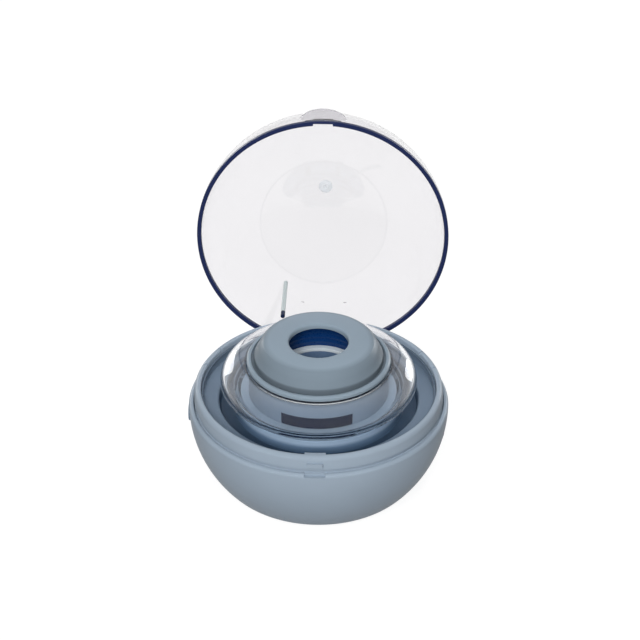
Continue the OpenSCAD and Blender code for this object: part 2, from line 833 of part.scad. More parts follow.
// One side of the dome's wall, from its foot up to its opening, moved in by a distance
function dome_side(inset) = concat(
    arc_points([dome_foot_r, dome_mid_z], dome_r - dome_foot_r - inset,
        dome_mid_z - dish_z - dish_t - inset, -75, 0, 10),
    arc_points([dome_open_r, dome_mid_z], dome_r - dome_open_r - inset,
        dome_top_z - dome_mid_z - inset, 9, 90, 10));
function reversed(points) = [for (i = [len(points) - 1 : -1 : 0]) points[i]];

module clear_dome() {
    color(CLEAR)
    rotate_extrude()
        polygon(concat([[dome_foot_r - dome_t, dish_z], [dome_foot_r + 0.6, dish_z]],
            dome_side(0), reversed(dome_side(dome_t))));
}

window_z = dish_z + 0.2;

module cap_sleeve() {
    color(SHELL_COLOUR)
    difference() {
        tube(sleeve_r, sleeve_r - sleeve_t, sleeve_top - dish_z, dish_z);
        window_shape(0.05, 0.85);
    }
}

// A bent plate let into the front of the sleeve
module window_shape(grow, depth) {
    translate([0, 0, window_z - grow])
        rotate([0, 0, -90 - window_half_deg])
            rotate_extrude(angle = 2 * window_half_deg)
                translate([sleeve_r - depth, 0])
                    square([depth + 0.2, window_h + 2 * grow]);
}

module sleeve_window() {
    color(NAVY)
    translate([0, 0, window_z])
        rotate([0, 0, -90 - window_half_deg])
            rotate_extrude(angle = 2 * window_half_deg)
                translate([sleeve_r - 0.8, 0])
                    square([0.75, window_h]);
}

LEDGE_T = 1.2;
LED_SCREW_ANGLES = [0, 120, 240];
led_rim_r = led_screw_circle_r + 2;
well_opening_r = led_rim_r + fit; // the well drops in through this opening
well_top = cap_z - cap_t - CAP_SLOPE - fit;
well_rim_z = well_floor + 2.4;
led_board_top = led_board_z + led_board_t;

// The tube that the teat hangs in: its flange stands on the dish, and its thick foot
// carries the lamp board
module teat_well() {
    color(NAVY)
    difference() {
        rotate_extrude()
            polygon([
                [well_low_r, well_floor], [well_low_r, ledge_z - LEDGE_T], [well_r, ledge_z - LEDGE_T],
                [well_r, well_top], [well_out_r, well_top],
                [well_out_r, dish_z + well_t], [sleeve_r - sleeve_t - fit, dish_z + well_t],
                [sleeve_r - sleeve_t - fit, dish_z], [well_out_r, dish_z],
                [well_out_r, well_rim_z], [led_rim_r, well_rim_z], [led_rim_r, led_board_top],
                [well_low_r + 1, led_board_top], [well_low_r + 1, well_floor]]);
        at_angles(LED_SCREW_ANGLES, led_screw_circle_r)
            translate([0, 0, led_board_top - CUT])
                cylinder(r = screw_r + 0.02, h = CUT + LED_SCREW_IN + 0.4, $fn = 32);
    }
}

LED_SCREW_IN = 3.8; // how far the lamp board's screws reach into the well's foot

module ledge_ring() {
    color([0.78, 0.80, 0.84])
    tube(well_r - 0.02, well_low_r, LEDGE_T, ledge_z - LEDGE_T);
}

module well_disc() {
    color(CLEAR)
    translate([0, 0, disc_z])
        cylinder(r = well_low_r + 0.95, h = disc_t);
}

module led_board() {
    color(BOARD_GREEN)
    difference() {
        translate([0, 0, led_board_z])
            cylinder(r = led_rim_r, h = led_board_t);
        at_angles(LED_SCREW_ANGLES, led_screw_circle_r)
            cylinder(r = screw_r + 0.1, h = BIG, $fn = 32);
    }
}

module uv_leds() {
    color([0.92, 0.90, 0.80])
    for (a = [0 : 90 : 270])
        rotate([0, 0, a + 45])
            translate([led_in, -led_w / 2, led_board_top])
                cube([led_w, led_w, led_h]);
}

module led_screws() {
    color(STEEL)
    at_angles(LED_SCREW_ANGLES, led_screw_circle_r)
        translate([0, 0, led_board_z - screw_head_h])
            screw(led_board_t + LED_SCREW_IN);
}

// A pair of wires from the main board up to the lamp board
module led_lead() {
    color([0.85, 0.85, 0.88])
    for (y = [-0.7, 0.7])
        translate([-10, 8 + y, board_top])
            cylinder(r = LEAD_R, h = led_board_z - board_top, $fn = 24);
}

// A small magnetic sensor under the pocket for the lid's magnet, outside the tray's wall
module lid_sensor() {
    color(BLACK)
    rotate([0, 0, atan2(post_y, post_x)])
        translate([shoulder_r + tray_t + fit, -2, pocket_floor - POCKET_WALL - 1])
            cube([3, 4, 1]);
}

// ---- Cap ----

flange_top = cap_under + cap_flange_t;
cap_in_r = sleeve_r - sleeve_t - fit; // outer radius of the skirt that drops into the sleeve
CAP_SKIRT_T = 1.6;
cap_brow_z = cap_z - 5.5; // where the rounded side ends, just above the groove
cap_outline = [
    [hole_r, cap_z - 0.7], [hole_r + 0.7, cap_z], [cap_flat_r, cap_z],
    [cap_flat_r + 1.6, cap_z - 0.55], [cap_flat_r + 2.7, cap_z - 1.7], [cap_flat_r + 3.4, cap_z - 3.1],
    [groove_r - 1, cap_z - 4.4], [groove_r - 0.2, cap_brow_z], [groove_r, flange_top + 0.2],
    [groove_r, flange_top - groove_depth], [groove_r + groove_w, flange_top - groove_depth],
    [groove_r + groove_w + 0.1, flange_top - 0.1], [groove_r + groove_w + 0.5, flange_top],
    [cap_r - 0.6, flange_top - 0.1], [cap_r, flange_top - 0.7], [cap_r, cap_under]];

module holder_cap() {
    color(SHELL_COLOUR)
    rotate_extrude()
        polygon(concat(cap_outline, [
            [cap_in_r, cap_under], [cap_in_r, cap_under - cap_skirt_l],
            [cap_in_r - CAP_SKIRT_T, cap_under - cap_skirt_l],
            [cap_in_r - CAP_SKIRT_T, cap_brow_z - cap_t / 2],
            [cap_flat_r, cap_z - cap_t - CAP_SLOPE], [cap_flat_r - 2, cap_z - cap_t],
            [hole_r, cap_z - cap_t]]));
}

module cap_gasket() {
    color(BLACK)
    tube(cap_r - 0.1, sleeve_r - sleeve_t + 0.1, gasket_t - 0.02, gasket_z);
}

// ---- Lid, drawn closed and then swung open about the hinge ----

post_y = sqrt(pow(shoulder_r + post_in, 2) - pow(post_x, 2));

module swung_open() {
    translate([0, hinge_y, hinge_z])
        rotate([-lid_open_deg, 0, 0])
            translate([0, -hinge_y, -hinge_z])
                children();
}

// Pocket in the lid's inner wall that passes the ring's catch nub
module catch_pocket() {
    intersection() {
        translate([-nub_w / 2 - 0.8, -BIG, lid_z - CUT])
            cube([nub_w + 1.6, BIG, nub_z + nub_h / 2 + 0.6 - lid_z + CUT]);
        half_ball(lid_in_r + 0.7);
    }
}

shell_z = lid_z + band_h;
post_top = lid_z + sqrt(pow(lid_in_r, 2) - pow(post_x, 2) - pow(post_y, 2));
post_tip = shoulder_z - post_dip;

module half_ball(r) {
    translate([0, 0, lid_z])
        sphere(r = r, $fn = 128);
}

module lid_shell() {
    color(CLEAR)
    swung_open()
        union() {
            difference() {
                half_ball(lid_r);
                half_ball(lid_in_r);
                translate([-BIG / 2, -BIG / 2, shell_z - BIG])
                    cube([BIG, BIG, BIG]);
                catch_pocket();
            }
            finger_tab();
            // gate boss at the crown, on the inside
            translate([0, 0, lid_z + lid_in_r - gate_h])
                cylinder(r = gate_r, h = gate_h + lid_t / 2, $fn = 48);
            for (s = [-1, 1])
                hinge_arm(s * arm_x);
            // interlock post
            translate([post_x, post_y, post_tip + magnet_l])
                cylinder(r = post_r, h = post_top - post_tip - magnet_l + 0.6, $fn = 32);
        }
}

// The tab is a half ellipse in the plane of the rim
module finger_tab() {
    difference() {
        translate([0, -lid_r + 0.6, shell_z])
            linear_extrude(tab_t)
                polygon([for (g = [180 : 6 : 360]) [tab_half * cos(g), (tab_out + 0.6) * sin(g)]]);
        half_ball(lid_r - 0.4);
    }
}

// One arm: a knuckle on the pin, a web up to the rim, and a rib on up the lid's inner wall
module hinge_arm(x) {
    web_y = sqrt(pow(lid_in_r, 2) - pow(abs(x) + arm_t / 2, 2)) - 0.1;
    difference() {
        union() {
            along_x(x - arm_t / 2, hinge_y, hinge_z)
                cylinder(r = knuckle_r, h = arm_t, $fn = 48);
            translate([x - arm_t / 2, 0, 0])
                rotate([90, 0, 90])
                    linear_extrude(arm_t)
                        polygon([[web_y - arm_w, shell_z + 0.2], [web_y - arm_w, lid_z - 1],
                            [hinge_y - knuckle_r, hinge_z + 0.4], [hinge_y + knuckle_r - 0.2, hinge_z],
                            [web_y, hinge_z + 3], [web_y, shell_z + 0.2]]);
            intersection() {
                translate([x - arm_t / 4, 0, shell_z])
                    cube([arm_t / 2, BIG, rib_h]);
                difference() {
                    half_ball(lid_in_r + lid_t / 2);
                    half_ball(lid_in_r - rib_in);
                }
            }
            // root that joins the web to the shell above the band
            intersection() {
                translate([x - arm_t / 2, web_y - arm_w, shell_z])
                    cube([arm_t, BIG, 3]);
                half_ball(lid_in_r + lid_t / 2);
            }
        }
        along_x(x - arm_t, hinge_y, hinge_z)
            cylinder(r = pin_r + pin_fit, h = 2 * arm_t, $fn = 48);
    }
}

module lid_band() {
    color(NAVY)
    swung_open()
        difference() {
            half_ball(lid_r);
            half_ball(lid_in_r);
            translate([-BIG / 2, -BIG / 2, lid_z - BIG])
                cube([BIG, BIG, BIG]);
            translate([-BIG / 2, -BIG / 2, shell_z])
                cube([BIG, BIG, BIG]);
            catch_pocket();
        }
}

module lid_magnet() {
    color(BLACK)
    swung_open()
        translate([post_x, post_y, post_tip])
            cylinder(r = post_r, h = magnet_l, $fn = 32);
}

base_shell();
bottom_cover();
grip_pad();
cover_screws();
case_screws();
battery_pad();
battery();
battery_lead();
main_board();
board_chips();
charging_socket();
port_flap();
power_button();
button_switch();
switch_plunger();
switch_board();
rim_ring();
inner_tray();
hinge_block();
hinge_screws();
hinge_pin();
reflector_dish();
clear_dome();
cap_sleeve();
sleeve_window();
teat_well();
ledge_ring();
well_disc();
led_board();
uv_leds();
led_screws();
led_lead();
lid_sensor();
holder_cap();
cap_gasket();
lid_shell();
lid_band();
lid_magnet();
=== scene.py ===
import json
import math

import bmesh
import bpy
from mathutils import Matrix, Vector


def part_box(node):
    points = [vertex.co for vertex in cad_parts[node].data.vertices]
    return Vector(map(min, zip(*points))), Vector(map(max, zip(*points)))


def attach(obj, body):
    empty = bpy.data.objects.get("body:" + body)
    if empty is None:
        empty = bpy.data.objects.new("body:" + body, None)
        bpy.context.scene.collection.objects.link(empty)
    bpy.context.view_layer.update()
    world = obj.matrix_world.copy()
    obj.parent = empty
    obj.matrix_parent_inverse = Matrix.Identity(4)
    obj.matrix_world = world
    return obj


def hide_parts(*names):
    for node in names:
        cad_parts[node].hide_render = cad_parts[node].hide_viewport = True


# Looks of a portable ultraviolet sterilizer case for a pacifier: a round base with a clear
# ring-shaped dome and a cap in it, under a clear hinged lid that stands open.
# Sizes are in millimetres unless a name says otherwise, in the same frame as the solids.

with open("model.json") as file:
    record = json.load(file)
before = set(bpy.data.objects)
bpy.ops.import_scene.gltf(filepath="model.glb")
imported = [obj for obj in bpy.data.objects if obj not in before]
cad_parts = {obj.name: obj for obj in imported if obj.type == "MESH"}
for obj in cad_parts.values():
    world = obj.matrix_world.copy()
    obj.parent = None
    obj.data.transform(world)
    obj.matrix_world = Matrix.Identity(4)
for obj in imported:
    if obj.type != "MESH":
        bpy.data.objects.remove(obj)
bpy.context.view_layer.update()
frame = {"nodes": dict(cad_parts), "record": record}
MM = 0.001


def top(node):
    """Height of a node's highest point above the floor."""
    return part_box(node)[1].z / MM


def foot(node):
    """Height of a node's lowest point above the floor."""
    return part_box(node)[0].z / MM


def radius(node):
    """Half the width of a round node."""
    low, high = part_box(node)
    return (high.x - low.x) / 2 / MM


# ---- Sizes taken from the frame ----

BODY_R = radius("base_shell")
LIP_Z = top("base_shell")
PARTING_Z = LIP_Z + 0.2
SEAM_Z = foot("base_shell")
COVER_Z = foot("bottom_cover")
COVER_TOP = top("bottom_cover")
RING_R = radius("rim_ring")
RING_Z = top("rim_ring")
REBATE_Z = foot("rim_ring") - 0.1
TRAY_R = radius("inner_tray")
DISH_Z = top("reflector_dish")
DECK_Z = foot("reflector_dish")
PEDESTAL_R = radius("reflector_dish") + 0.2
SLEEVE_R = radius("cap_sleeve")
SLEEVE_TOP = top("cap_sleeve")
DOME_R = radius("clear_dome")
DOME_TOP = top("clear_dome")
CAP_R = radius("holder_cap")
CAP_Z = top("holder_cap")
CAP_FOOT = foot("holder_cap")
WELL_TOP = top("teat_well")
WELL_FOOT = foot("teat_well")
LEDGE_Z = top("ledge_ring")
LEDGE_FOOT = foot("ledge_ring")
DISC_TOP = top("well_disc")
GRIP_R = radius("grip_pad")
GRIP_TOP = top("grip_pad")
BUTTON_R = (top("power_button") - foot("power_button")) / 2
BUTTON_Z = (top("power_button") + foot("power_button")) / 2
BUTTON_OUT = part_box("power_button")[0].x / MM
BUTTON_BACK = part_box("power_button")[1].x / MM
PORT_Z = (top("charging_socket") + foot("charging_socket")) / 2
HINGE_Y = (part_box("hinge_pin")[0].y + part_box("hinge_pin")[1].y) / 2 / MM
HINGE_Z = (top("hinge_pin") + foot("hinge_pin")) / 2
PIN_R = (top("hinge_pin") - foot("hinge_pin")) / 2

# ---- Sizes of the moulded forms ----

BELLY_Z = 30.0
BELLY_DEPTH = 43.0
CORNER_R = 8.0
WALL = 2.4
LIP_W = 1.6
LIP_ROUND = 1.2
FLANGE_R = 20.5
FLANGE_T = 1.8
THUMB_HALF = 3.5
THUMB_DEEP = 1.0
PORT_HALF_W = 4.75
PORT_HALF_H = 1.9
PORT_INNER_X = 36.0
FLAP_HALF_W = 6.2
FLAP_HALF_H = 2.7
FLAP_SEAT_GAP = 0.15
FLAP_SEAT_DEEP = 1.05
COVER_SCREWS = 4
COVER_SCREW_CIRCLE = 24.0
SCREW_WELL_R = 2.0
SCREW_WELL_DEEP = 1.2
RING_W = 2.4
RING_ROUND = 1.6
SKIRT_T = 1.0
RING_GAP_HALF = 16.5
SHADOW_GAP_W = 0.6
SHADOW_GAP_H = 0.7
NUB_HALF_W = 2.65
NUB_HALF_H = 0.8
NUB_Z = PARTING_Z + 2.6
NUB_RIB_HALF_T = 0.8
NUB_RIB_DEG = math.degrees(math.asin(THUMB_HALF / (RING_R - RING_W)))
SNAP_TABS_DEG = (23, 157)
SNAP_TAB_HALF_DEG = 7.4
SNAP_SLIT_HALF = 0.3
SNAP_SLIT_DEEP = 1.2
WINDOW_LOW, WINDOW_HIGH = foot("sleeve_window"), top("sleeve_window")
SHOULDER_Z = PARTING_Z + 0.8
SHOULDER_R = 34.6
CHANNEL_Z = PARTING_Z - 3
TRAY_T = 1.4
LINER_T = 0.7
POCKET_R = 2.0
POCKET_PLACE = (-14.5, 32.4)
DOME_MID_Z = PARTING_Z + 8
DOME_T = 1.5
SLEEVE_T = 1.6
WELL_R = 15.2
WELL_LOW_R = 12.9
WELL_T = 1.4
WELL_RIM_R = WELL_LOW_R + WELL_T + 1.8 + 2
WELL_RIM_T = 2.4
DISH_HOLE_R = WELL_LOW_R + WELL_T + 4.1
RIDGES = 4
RIDGE_STEP = 1.9
RIDGE_OUT = 0.12
HOLE_R = 10.2
CAP_FLAT_R = 17.3
CAP_T = 2.0
GROOVE_R = 22.2
GROOVE_W = 0.9
GROOVE_DEPTH = 0.9
FLANGE_UNDER = SLEEVE_TOP + 0.6
CAP_FLANGE_T = 1.7
FIT = 0.3
LID_R = BODY_R + 0.1
LID_T = 1.5
LID_IN_R = LID_R - LID_T
LID_Z = LIP_Z + 0.35
BAND_H = 1.6
BAND_Z = LID_Z + BAND_H
LID_OPEN_DEG = 94.0
CATCH_HALF = 3.45
TAB_HALF = 8.2
TAB_DEEP = 4.7
TAB_T = 1.2
POST_R = 0.8
POST_X, POST_Y = -14.5, 32.0
MAGNET_L = 3.0
ARM_X = 8.0
ARM_HALF_T = 1.2
ARM_SLOT_HALF = 1.6
KNUCKLE_R = 2.2
LID_RIB_HALF_T = 0.6
LID_RIB_DEEP = 1.2
LID_RIB_RISE = 19.0
FAR = 60.0  # beyond every form, where a cut ends in the open
HINGE_BAY_Z = 21.7
HINGE_BAY = ((-9.6, 34.4, HINGE_BAY_Z), (9.6, FAR, FAR))
TURN_STEPS = 192
SHARP_BEND = math.radians(24)

# ---- Making meshes ----


def softened(outline, soft, steps=4):
    """The closed outline with each sharp corner rounded, as far as its edges allow."""
    rounded = []
    for i, corner in enumerate(outline):
        here, before, after = Vector(corner), Vector(outline[i - 1]), Vector(outline[(i + 1) % len(outline)])
        back, ahead = before - here, after - here
        if back.length < 1e-6 or ahead.length < 1e-6:
            continue
        bend = math.pi - back.angle(ahead)
        if bend < SHARP_BEND or here.x < 1e-6:
            rounded.append(tuple(here))
            continue
        reach = min(soft * math.tan(bend / 2), 0.45 * back.length, 0.45 * ahead.length)
        start = here + back.normalized() * reach
        end = here + ahead.normalized() * reach
        for step in range(steps + 1):
            t = step / steps
            rounded.append(tuple((1 - t) ** 2 * start + 2 * t * (1 - t) * here + t * t * end))
    return rounded


def arc(centre, across, up, start, end, steps):
    """Points along an ellipse's arc, by its own angle in degrees."""
    return [(centre[0] + across * math.cos(math.radians(a)), centre[1] + up * math.sin(math.radians(a)))
            for a in (start + (end - start) * i / steps for i in range(steps + 1))]


def new_piece(name, shape):
    """A mesh object at the origin from a bmesh in millimetres, with its faces pointing outwards."""
    bmesh.ops.remove_doubles(shape, verts=shape.verts, dist=1e-5)
    bmesh.ops.recalc_face_normals(shape, faces=shape.faces)
    bmesh.ops.scale(shape, vec=(MM, MM, MM), verts=shape.verts)
    mesh = bpy.data.meshes.new(name)
    shape.to_mesh(mesh)
    shape.free()
    piece = bpy.data.objects.new(name, mesh)
    bpy.context.scene.collection.objects.link(piece)
    return piece


def turned(name, outline, start=0.0, sweep=360.0, steps=TURN_STEPS):
    """A closed outline of radius and height, turned about the case's axis."""
    shape = bmesh.new()
    whole = sweep > 359.9
    rings = []
    for step in range(steps if whole else steps + 1):
        angle = math.radians(start + sweep * step / steps)
        rings.append([shape.verts.new((r * math.cos(angle), r * math.sin(angle), z)) for r, z in outline])
    for step in range(steps):
        one, two = rings[step], rings[(step + 1) % len(rings)]
        for i in range(len(outline)):
            j = (i + 1) % len(outline)
            shape.faces.new((one[i], two[i], two[j], one[j]))
    if not whole:
        shape.faces.new(rings[0])
        shape.faces.new(list(reversed(rings[-1])))
    return new_piece(name, shape)


def placed(piece, matrix):
    """Puts a piece in its place in its own mesh, with its offset in millimetres."""
    matrix = matrix.copy()
    matrix.translation *= MM
    piece.data.transform(matrix)
    return piece


def slab(name, outline, low, high, lie="Z"):
    """An outline in the plane across an axis, given thickness along that axis."""
    shape = bmesh.new()
    ends = [[shape.verts.new((a, b, h)) for a, b in outline] for h in (low, high)]
    count = len(outline)
    for i in range(count):
        j = (i + 1) % count
        shape.faces.new((ends[0][i], ends[0][j], ends[1][j], ends[1][i]))
    shape.faces.new(ends[0])
    shape.faces.new(ends[1])
    piece = new_piece(name, shape)
    if lie == "X":  # the outline's two numbers are then Y and Z
        piece.data.transform(Matrix(((0, 0, 1, 0), (1, 0, 0, 0), (0, 1, 0, 0), (0, 0, 0, 1))))
    return piece


def oblong(left, low, right, high):
    """The outline of a plain section with four square corners."""
    return [(left, low), (right, low), (right, high), (left, high)]


def block(low, high):
    """A plain box, for cutting."""
    return slab("cutter", oblong(low[0], low[1], high[0], high[1]), low[2], high[2])


def rod(across, low, high, centre=(0, 0), lie="Z", steps=64):
    """A plain round bar, for cutting or joining."""
    outline = [(across * math.cos(math.tau * i / steps) + centre[0],
                across * math.sin(math.tau * i / steps) + centre[1]) for i in range(steps)]
    return slab("rod", outline, low, high, lie)


def settled(piece):
    """Turns a piece's modifiers into plain mesh."""
    graph = bpy.context.evaluated_depsgraph_get()
    mesh = bpy.data.meshes.new_from_object(piece.evaluated_get(graph), depsgraph=graph)
    piece.modifiers.clear()
    old, piece.data = piece.data, mesh
    name = old.name
    bpy.data.meshes.remove(old)
    mesh.name = name
    return piece


def combine(piece, others, operation="DIFFERENCE"):
    """Cuts other pieces out of a piece, or joins them to it, and removes them."""
    for other in others:
        step = piece.modifiers.new("combine", "BOOLEAN")
        step.operation = operation
        step.solver = "EXACT"
        step.object = other
    settled(piece)
    for other in others:
        bpy.data.objects.remove(other)
    return piece


def copied(node):
    """A merged copy of a node's own mesh, for small pieces whose edges get a fine bevel."""
    source = frame["nodes"][node]
    shape = bmesh.new()
    shape.from_mesh(source.data)
    bmesh.ops.remove_doubles(shape, verts=shape.verts, dist=1e-6)
    bmesh.ops.dissolve_limit(shape, angle_limit=math.radians(0.5), verts=shape.verts, edges=shape.edges)
    mesh = bpy.data.meshes.new(node + "_copy")
    shape.to_mesh(mesh)
    shape.free()
    piece = bpy.data.objects.new(node + "_soft", mesh)
    bpy.context.scene.collection.objects.link(piece)
    bevel = piece.modifiers.new("edge", "BEVEL")
    bevel.width = 0.15 * MM
    bevel.segments = 2
    bevel.limit_method = "ANGLE"
    bevel.angle_limit = math.radians(40)
    return settled(piece)


def hand_over(piece, node, body, slot, finish=None, smooth_deg=32):
    """The piece stands for a node: it rides on its body and takes its own finish or that of its slot."""
    piece.data.materials.clear()
    piece.data.materials.append(finish or FINISHES[slot])
    piece.data.shade_smooth()
    piece.data.set_sharp_from_angle(angle=math.radians(smooth_deg))
    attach(piece, body)
    if node:
        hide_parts(node)
    return piece


def swung(piece):
    """Swings a piece of the closed lid open about the hinge."""
    hinge = Vector((0, HINGE_Y, HINGE_Z))
    turn = Matrix.Rotation(math.radians(-LID_OPEN_DEG), 4, "X")
    return placed(piece, Matrix.Translation(hinge) @ turn @ Matrix.Translation(-hinge))


# ---- Finishes ----


def srgb(red, green, blue):
    """A colour as an eye reads it on a screen, 0 to 255, as the shader's linear colour."""
    def linear(c):
        c /= 255
        return c / 12.92 if c <= 0.04045 else ((c + 0.055) / 1.055) ** 2.4
    return (linear(red), linear(green), linear(blue), 1.0)


class Finish:
    """A material whose nodes are added one by one."""

    def __init__(self, name):
        self.material = bpy.data.materials.new(name)
        self.material.use_nodes = True
        self.nodes = self.material.node_tree.nodes
        self.links = self.material.node_tree.links
        self.shader = self.nodes["Principled BSDF"]
        self.output = self.nodes["Material Output"]
        self.place = self.nodes.new("ShaderNodeTexCoord").outputs["Object"]

    def noise(self, scale, detail=3.0, rough=0.5, place=None):
        """A fine or slow pattern, by its number of waves in a metre."""
        node = self.nodes.new("ShaderNodeTexNoise")
        node.inputs["Scale"].default_value = scale
        node.inputs["Detail"].default_value = detail
        node.inputs["Roughness"].default_value = rough
        self.links.new(place or self.place, node.inputs["Vector"])
        return node.outputs["Fac"]

    def stretched(self, x, y, z):
        """The place on the piece, for a pattern that is drawn out along an axis."""
        node = self.nodes.new("ShaderNodeMapping")
        node.inputs["Scale"].default_value = (x, y, z)
        self.links.new(self.place, node.inputs["Vector"])
        return node.outputs["Vector"]

    def ramp(self, value, low, high, start=0.3, end=0.7):
        """Spreads a pattern between two colours."""
        node = self.nodes.new("ShaderNodeValToRGB")
        for element, position, colour in zip(node.color_ramp.elements, (start, end), (low, high)):
            element.position = position
            element.color = colour
        self.links.new(value, node.inputs["Fac"])
        return node.outputs["Color"]

    def measured(self, scale, operation):
        """A length of the place on the piece, in millimetres."""
        scaled = self.nodes.new("ShaderNodeVectorMath")
        scaled.operation = "MULTIPLY"
        scaled.inputs[1].default_value = tuple(s / MM for s in scale)
        self.links.new(self.place, scaled.inputs[0])
        length = self.nodes.new("ShaderNodeVectorMath")
        length.operation = operation
        length.inputs[1].default_value = (1, 1, 1)
        self.links.new(scaled.outputs["Vector"], length.inputs[0])
        return length.outputs["Value"]

    def shaded(self, value, stops):
        """Multiplies the colour by shades that lie along a length: pairs of millimetres and shade."""
        first, last = stops[0][0], stops[-1][0]
        part = self.nodes.new("ShaderNodeMapRange")
        part.inputs["From Min"].default_value = first
        part.inputs["From Max"].default_value = last
        self.links.new(value, part.inputs["Value"])
        shades = self.nodes.new("ShaderNodeValToRGB")
        elements = shades.color_ramp.elements
        for at, _ in stops[1:-1]:
            elements.new((at - first) / (last - first))
        for element, (_, shade) in zip(elements, stops):
            tint = shade if isinstance(shade, tuple) else (shade, shade, shade)
            element.color = tint + (1.0,)
        self.links.new(part.outputs["Result"], shades.inputs["Fac"])
        both = self.nodes.new("ShaderNodeMix")
        both.data_type, both.blend_type = "RGBA", "MULTIPLY"
        both.inputs["Factor"].default_value = 1.0
        colour = self.shader.inputs["Base Color"].links[0].from_socket
        self.links.new(colour, both.inputs[6])
        self.links.new(shades.outputs["Color"], both.inputs[7])
        self.feed("Base Color", both.outputs[2])

    def by_radius(self, stops):
        """Shades that lie in rings about the case's axis."""
        self.shaded(self.measured((1, 1, 0), "LENGTH"), stops)

    def by_height(self, stops):
        """Shades that lie in layers."""
        self.shaded(self.measured((0, 0, 1), "DOT_PRODUCT"), stops)

    def spread(self, value, low, high):
        """Spreads a pattern between two numbers."""
        node = self.nodes.new("ShaderNodeMapRange")
        node.inputs["From Min"].default_value = 0.3
        node.inputs["From Max"].default_value = 0.7
        node.inputs["To Min"].default_value = low
        node.inputs["To Max"].default_value = high
        self.links.new(value, node.inputs["Value"])
        return node.outputs["Result"]

    def bump(self, value, depth_mm, strength=0.5):
        """Lets a pattern catch the light as a relief."""
        node = self.nodes.new("ShaderNodeBump")
        node.inputs["Strength"].default_value = strength
        node.inputs["Distance"].default_value = depth_mm * MM
        self.links.new(value, node.inputs["Height"])
        self.links.new(node.outputs["Normal"], self.shader.inputs["Normal"])

    def set(self, **values):
        """Plain numbers for the shader's inputs, with _ for a space in a name."""
        for name, value in values.items():
            self.shader.inputs[name.replace("_", " ")].default_value = value

    def feed(self, name, value):
        """Links a pattern to an input of the shader."""
        self.links.new(value, self.shader.inputs[name])


def shade_of(colour, factor):
    """A darker or lighter shade of a colour, no brighter than white."""
    return tuple(min(1.0, c * factor) for c in colour[:3]) + (1.0,)


def moulded(name, colour, rough=0.42, vary=0.04, grain_mm=0.25, grain_depth=0.006, specular=0.12, coat=0.0,
            radii=None, heights=None):
    """Moulded plastic: fine spark-eroded grain, slow changes of shade and gloss."""
    finish = Finish(name)
    slow = finish.noise(60.0, 2.0)
    fine = finish.noise(1 / (grain_mm * MM), 2.0, 0.6)
    finish.feed("Base Color", finish.ramp(slow, shade_of(colour, 1 - vary), shade_of(colour, 1 + vary)))
    if radii:
        finish.by_radius(radii)
    if heights:
        finish.by_height(heights)
    finish.feed("Roughness", finish.spread(fine, rough - 0.05, rough + 0.06))
    finish.bump(fine, grain_depth)
    finish.set(Specular_IOR_Level=specular, Coat_Weight=coat, Coat_Roughness=0.12)
    return finish.material


def clear_plastic(name, colour, rough=0.02, clear=1.0, specular=0.5, radii=None):
    """Clear moulded plastic, with flow lines too faint to name and light that passes into its shadow."""
    finish = Finish(name)
    flow = finish.noise(45.0, 2.0, 0.5, finish.stretched(1.0, 1.0, 0.4))
    haze = finish.noise(900.0, 2.0)
    finish.feed("Base Color", finish.ramp(flow, shade_of(colour, 0.985), colour))
    if radii:
        finish.by_radius(radii)
    finish.feed("Roughness", finish.spread(haze, rough, rough + 0.03))
    finish.bump(flow, 0.004, 0.05)
    finish.set(Transmission_Weight=clear, IOR=1.49, Specular_IOR_Level=specular)
    light = finish.nodes.new("ShaderNodeLightPath")
    through = finish.nodes.new("ShaderNodeBsdfTransparent")
    through.inputs["Color"].default_value = shade_of(colour, 0.97)
    mix = finish.nodes.new("ShaderNodeMixShader")
    finish.links.new(light.outputs["Is Shadow Ray"], mix.inputs["Fac"])
    finish.links.new(finish.shader.outputs["BSDF"], mix.inputs[1])
    finish.links.new(through.outputs["BSDF"], mix.inputs[2])
    finish.links.new(mix.outputs["Shader"], finish.output.inputs["Surface"])
    return finish.material


def rubber(name, colour, rough=0.7):
    """Soft moulded rubber with a dull dusty grain."""
    finish = Finish(name)
    dust = finish.noise(120.0, 4.0, 0.6)
    fine = finish.noise(5000.0, 2.0, 0.6)
    finish.feed("Base Color", finish.ramp(dust, shade_of(colour, 0.85), shade_of(colour, 1.25)))
    finish.feed("Roughness", finish.spread(fine, rough - 0.08, rough + 0.08))
    finish.bump(fine, 0.01)
    finish.set(Specular_IOR_Level=0.3)
    return finish.material


def turned_steel(name, colour, rough=0.28):
    """Turned or drawn steel with fine lines."""
    finish = Finish(name)
    lines = finish.noise(2500.0, 3.0, 0.7, finish.stretched(1.0, 1.0, 0.15))
    finish.feed("Base Color", finish.ramp(lines, shade_of(colour, 0.88), shade_of(colour, 1.06)))
    finish.feed("Roughness", finish.spread(lines, rough - 0.06, rough + 0.1))
    finish.bump(lines, 0.004)
    finish.set(Metallic=1.0)
    return finish.material


def circuit_board(name, colour, copper):
    """Lacquered board with copper tracks that show through the lacquer."""
    finish = Finish(name)
    tracks = finish.nodes.new("ShaderNodeTexBrick")
    tracks.inputs["Scale"].default_value = 160.0
    tracks.inputs["Mortar Size"].default_value = 0.03
    tracks.inputs["Color1"].default_value = colour
    tracks.inputs["Color2"].default_value = shade_of(colour, 0.85)
    tracks.inputs["Mortar"].default_value = copper
    finish.links.new(finish.place, tracks.inputs["Vector"])
    finish.feed("Base Color", tracks.outputs["Color"])
    fine = finish.noise(1500.0)
    finish.feed("Roughness", finish.spread(fine, 0.25, 0.4))
    finish.bump(tracks.outputs["Fac"], 0.02, 0.4)
    return finish.material


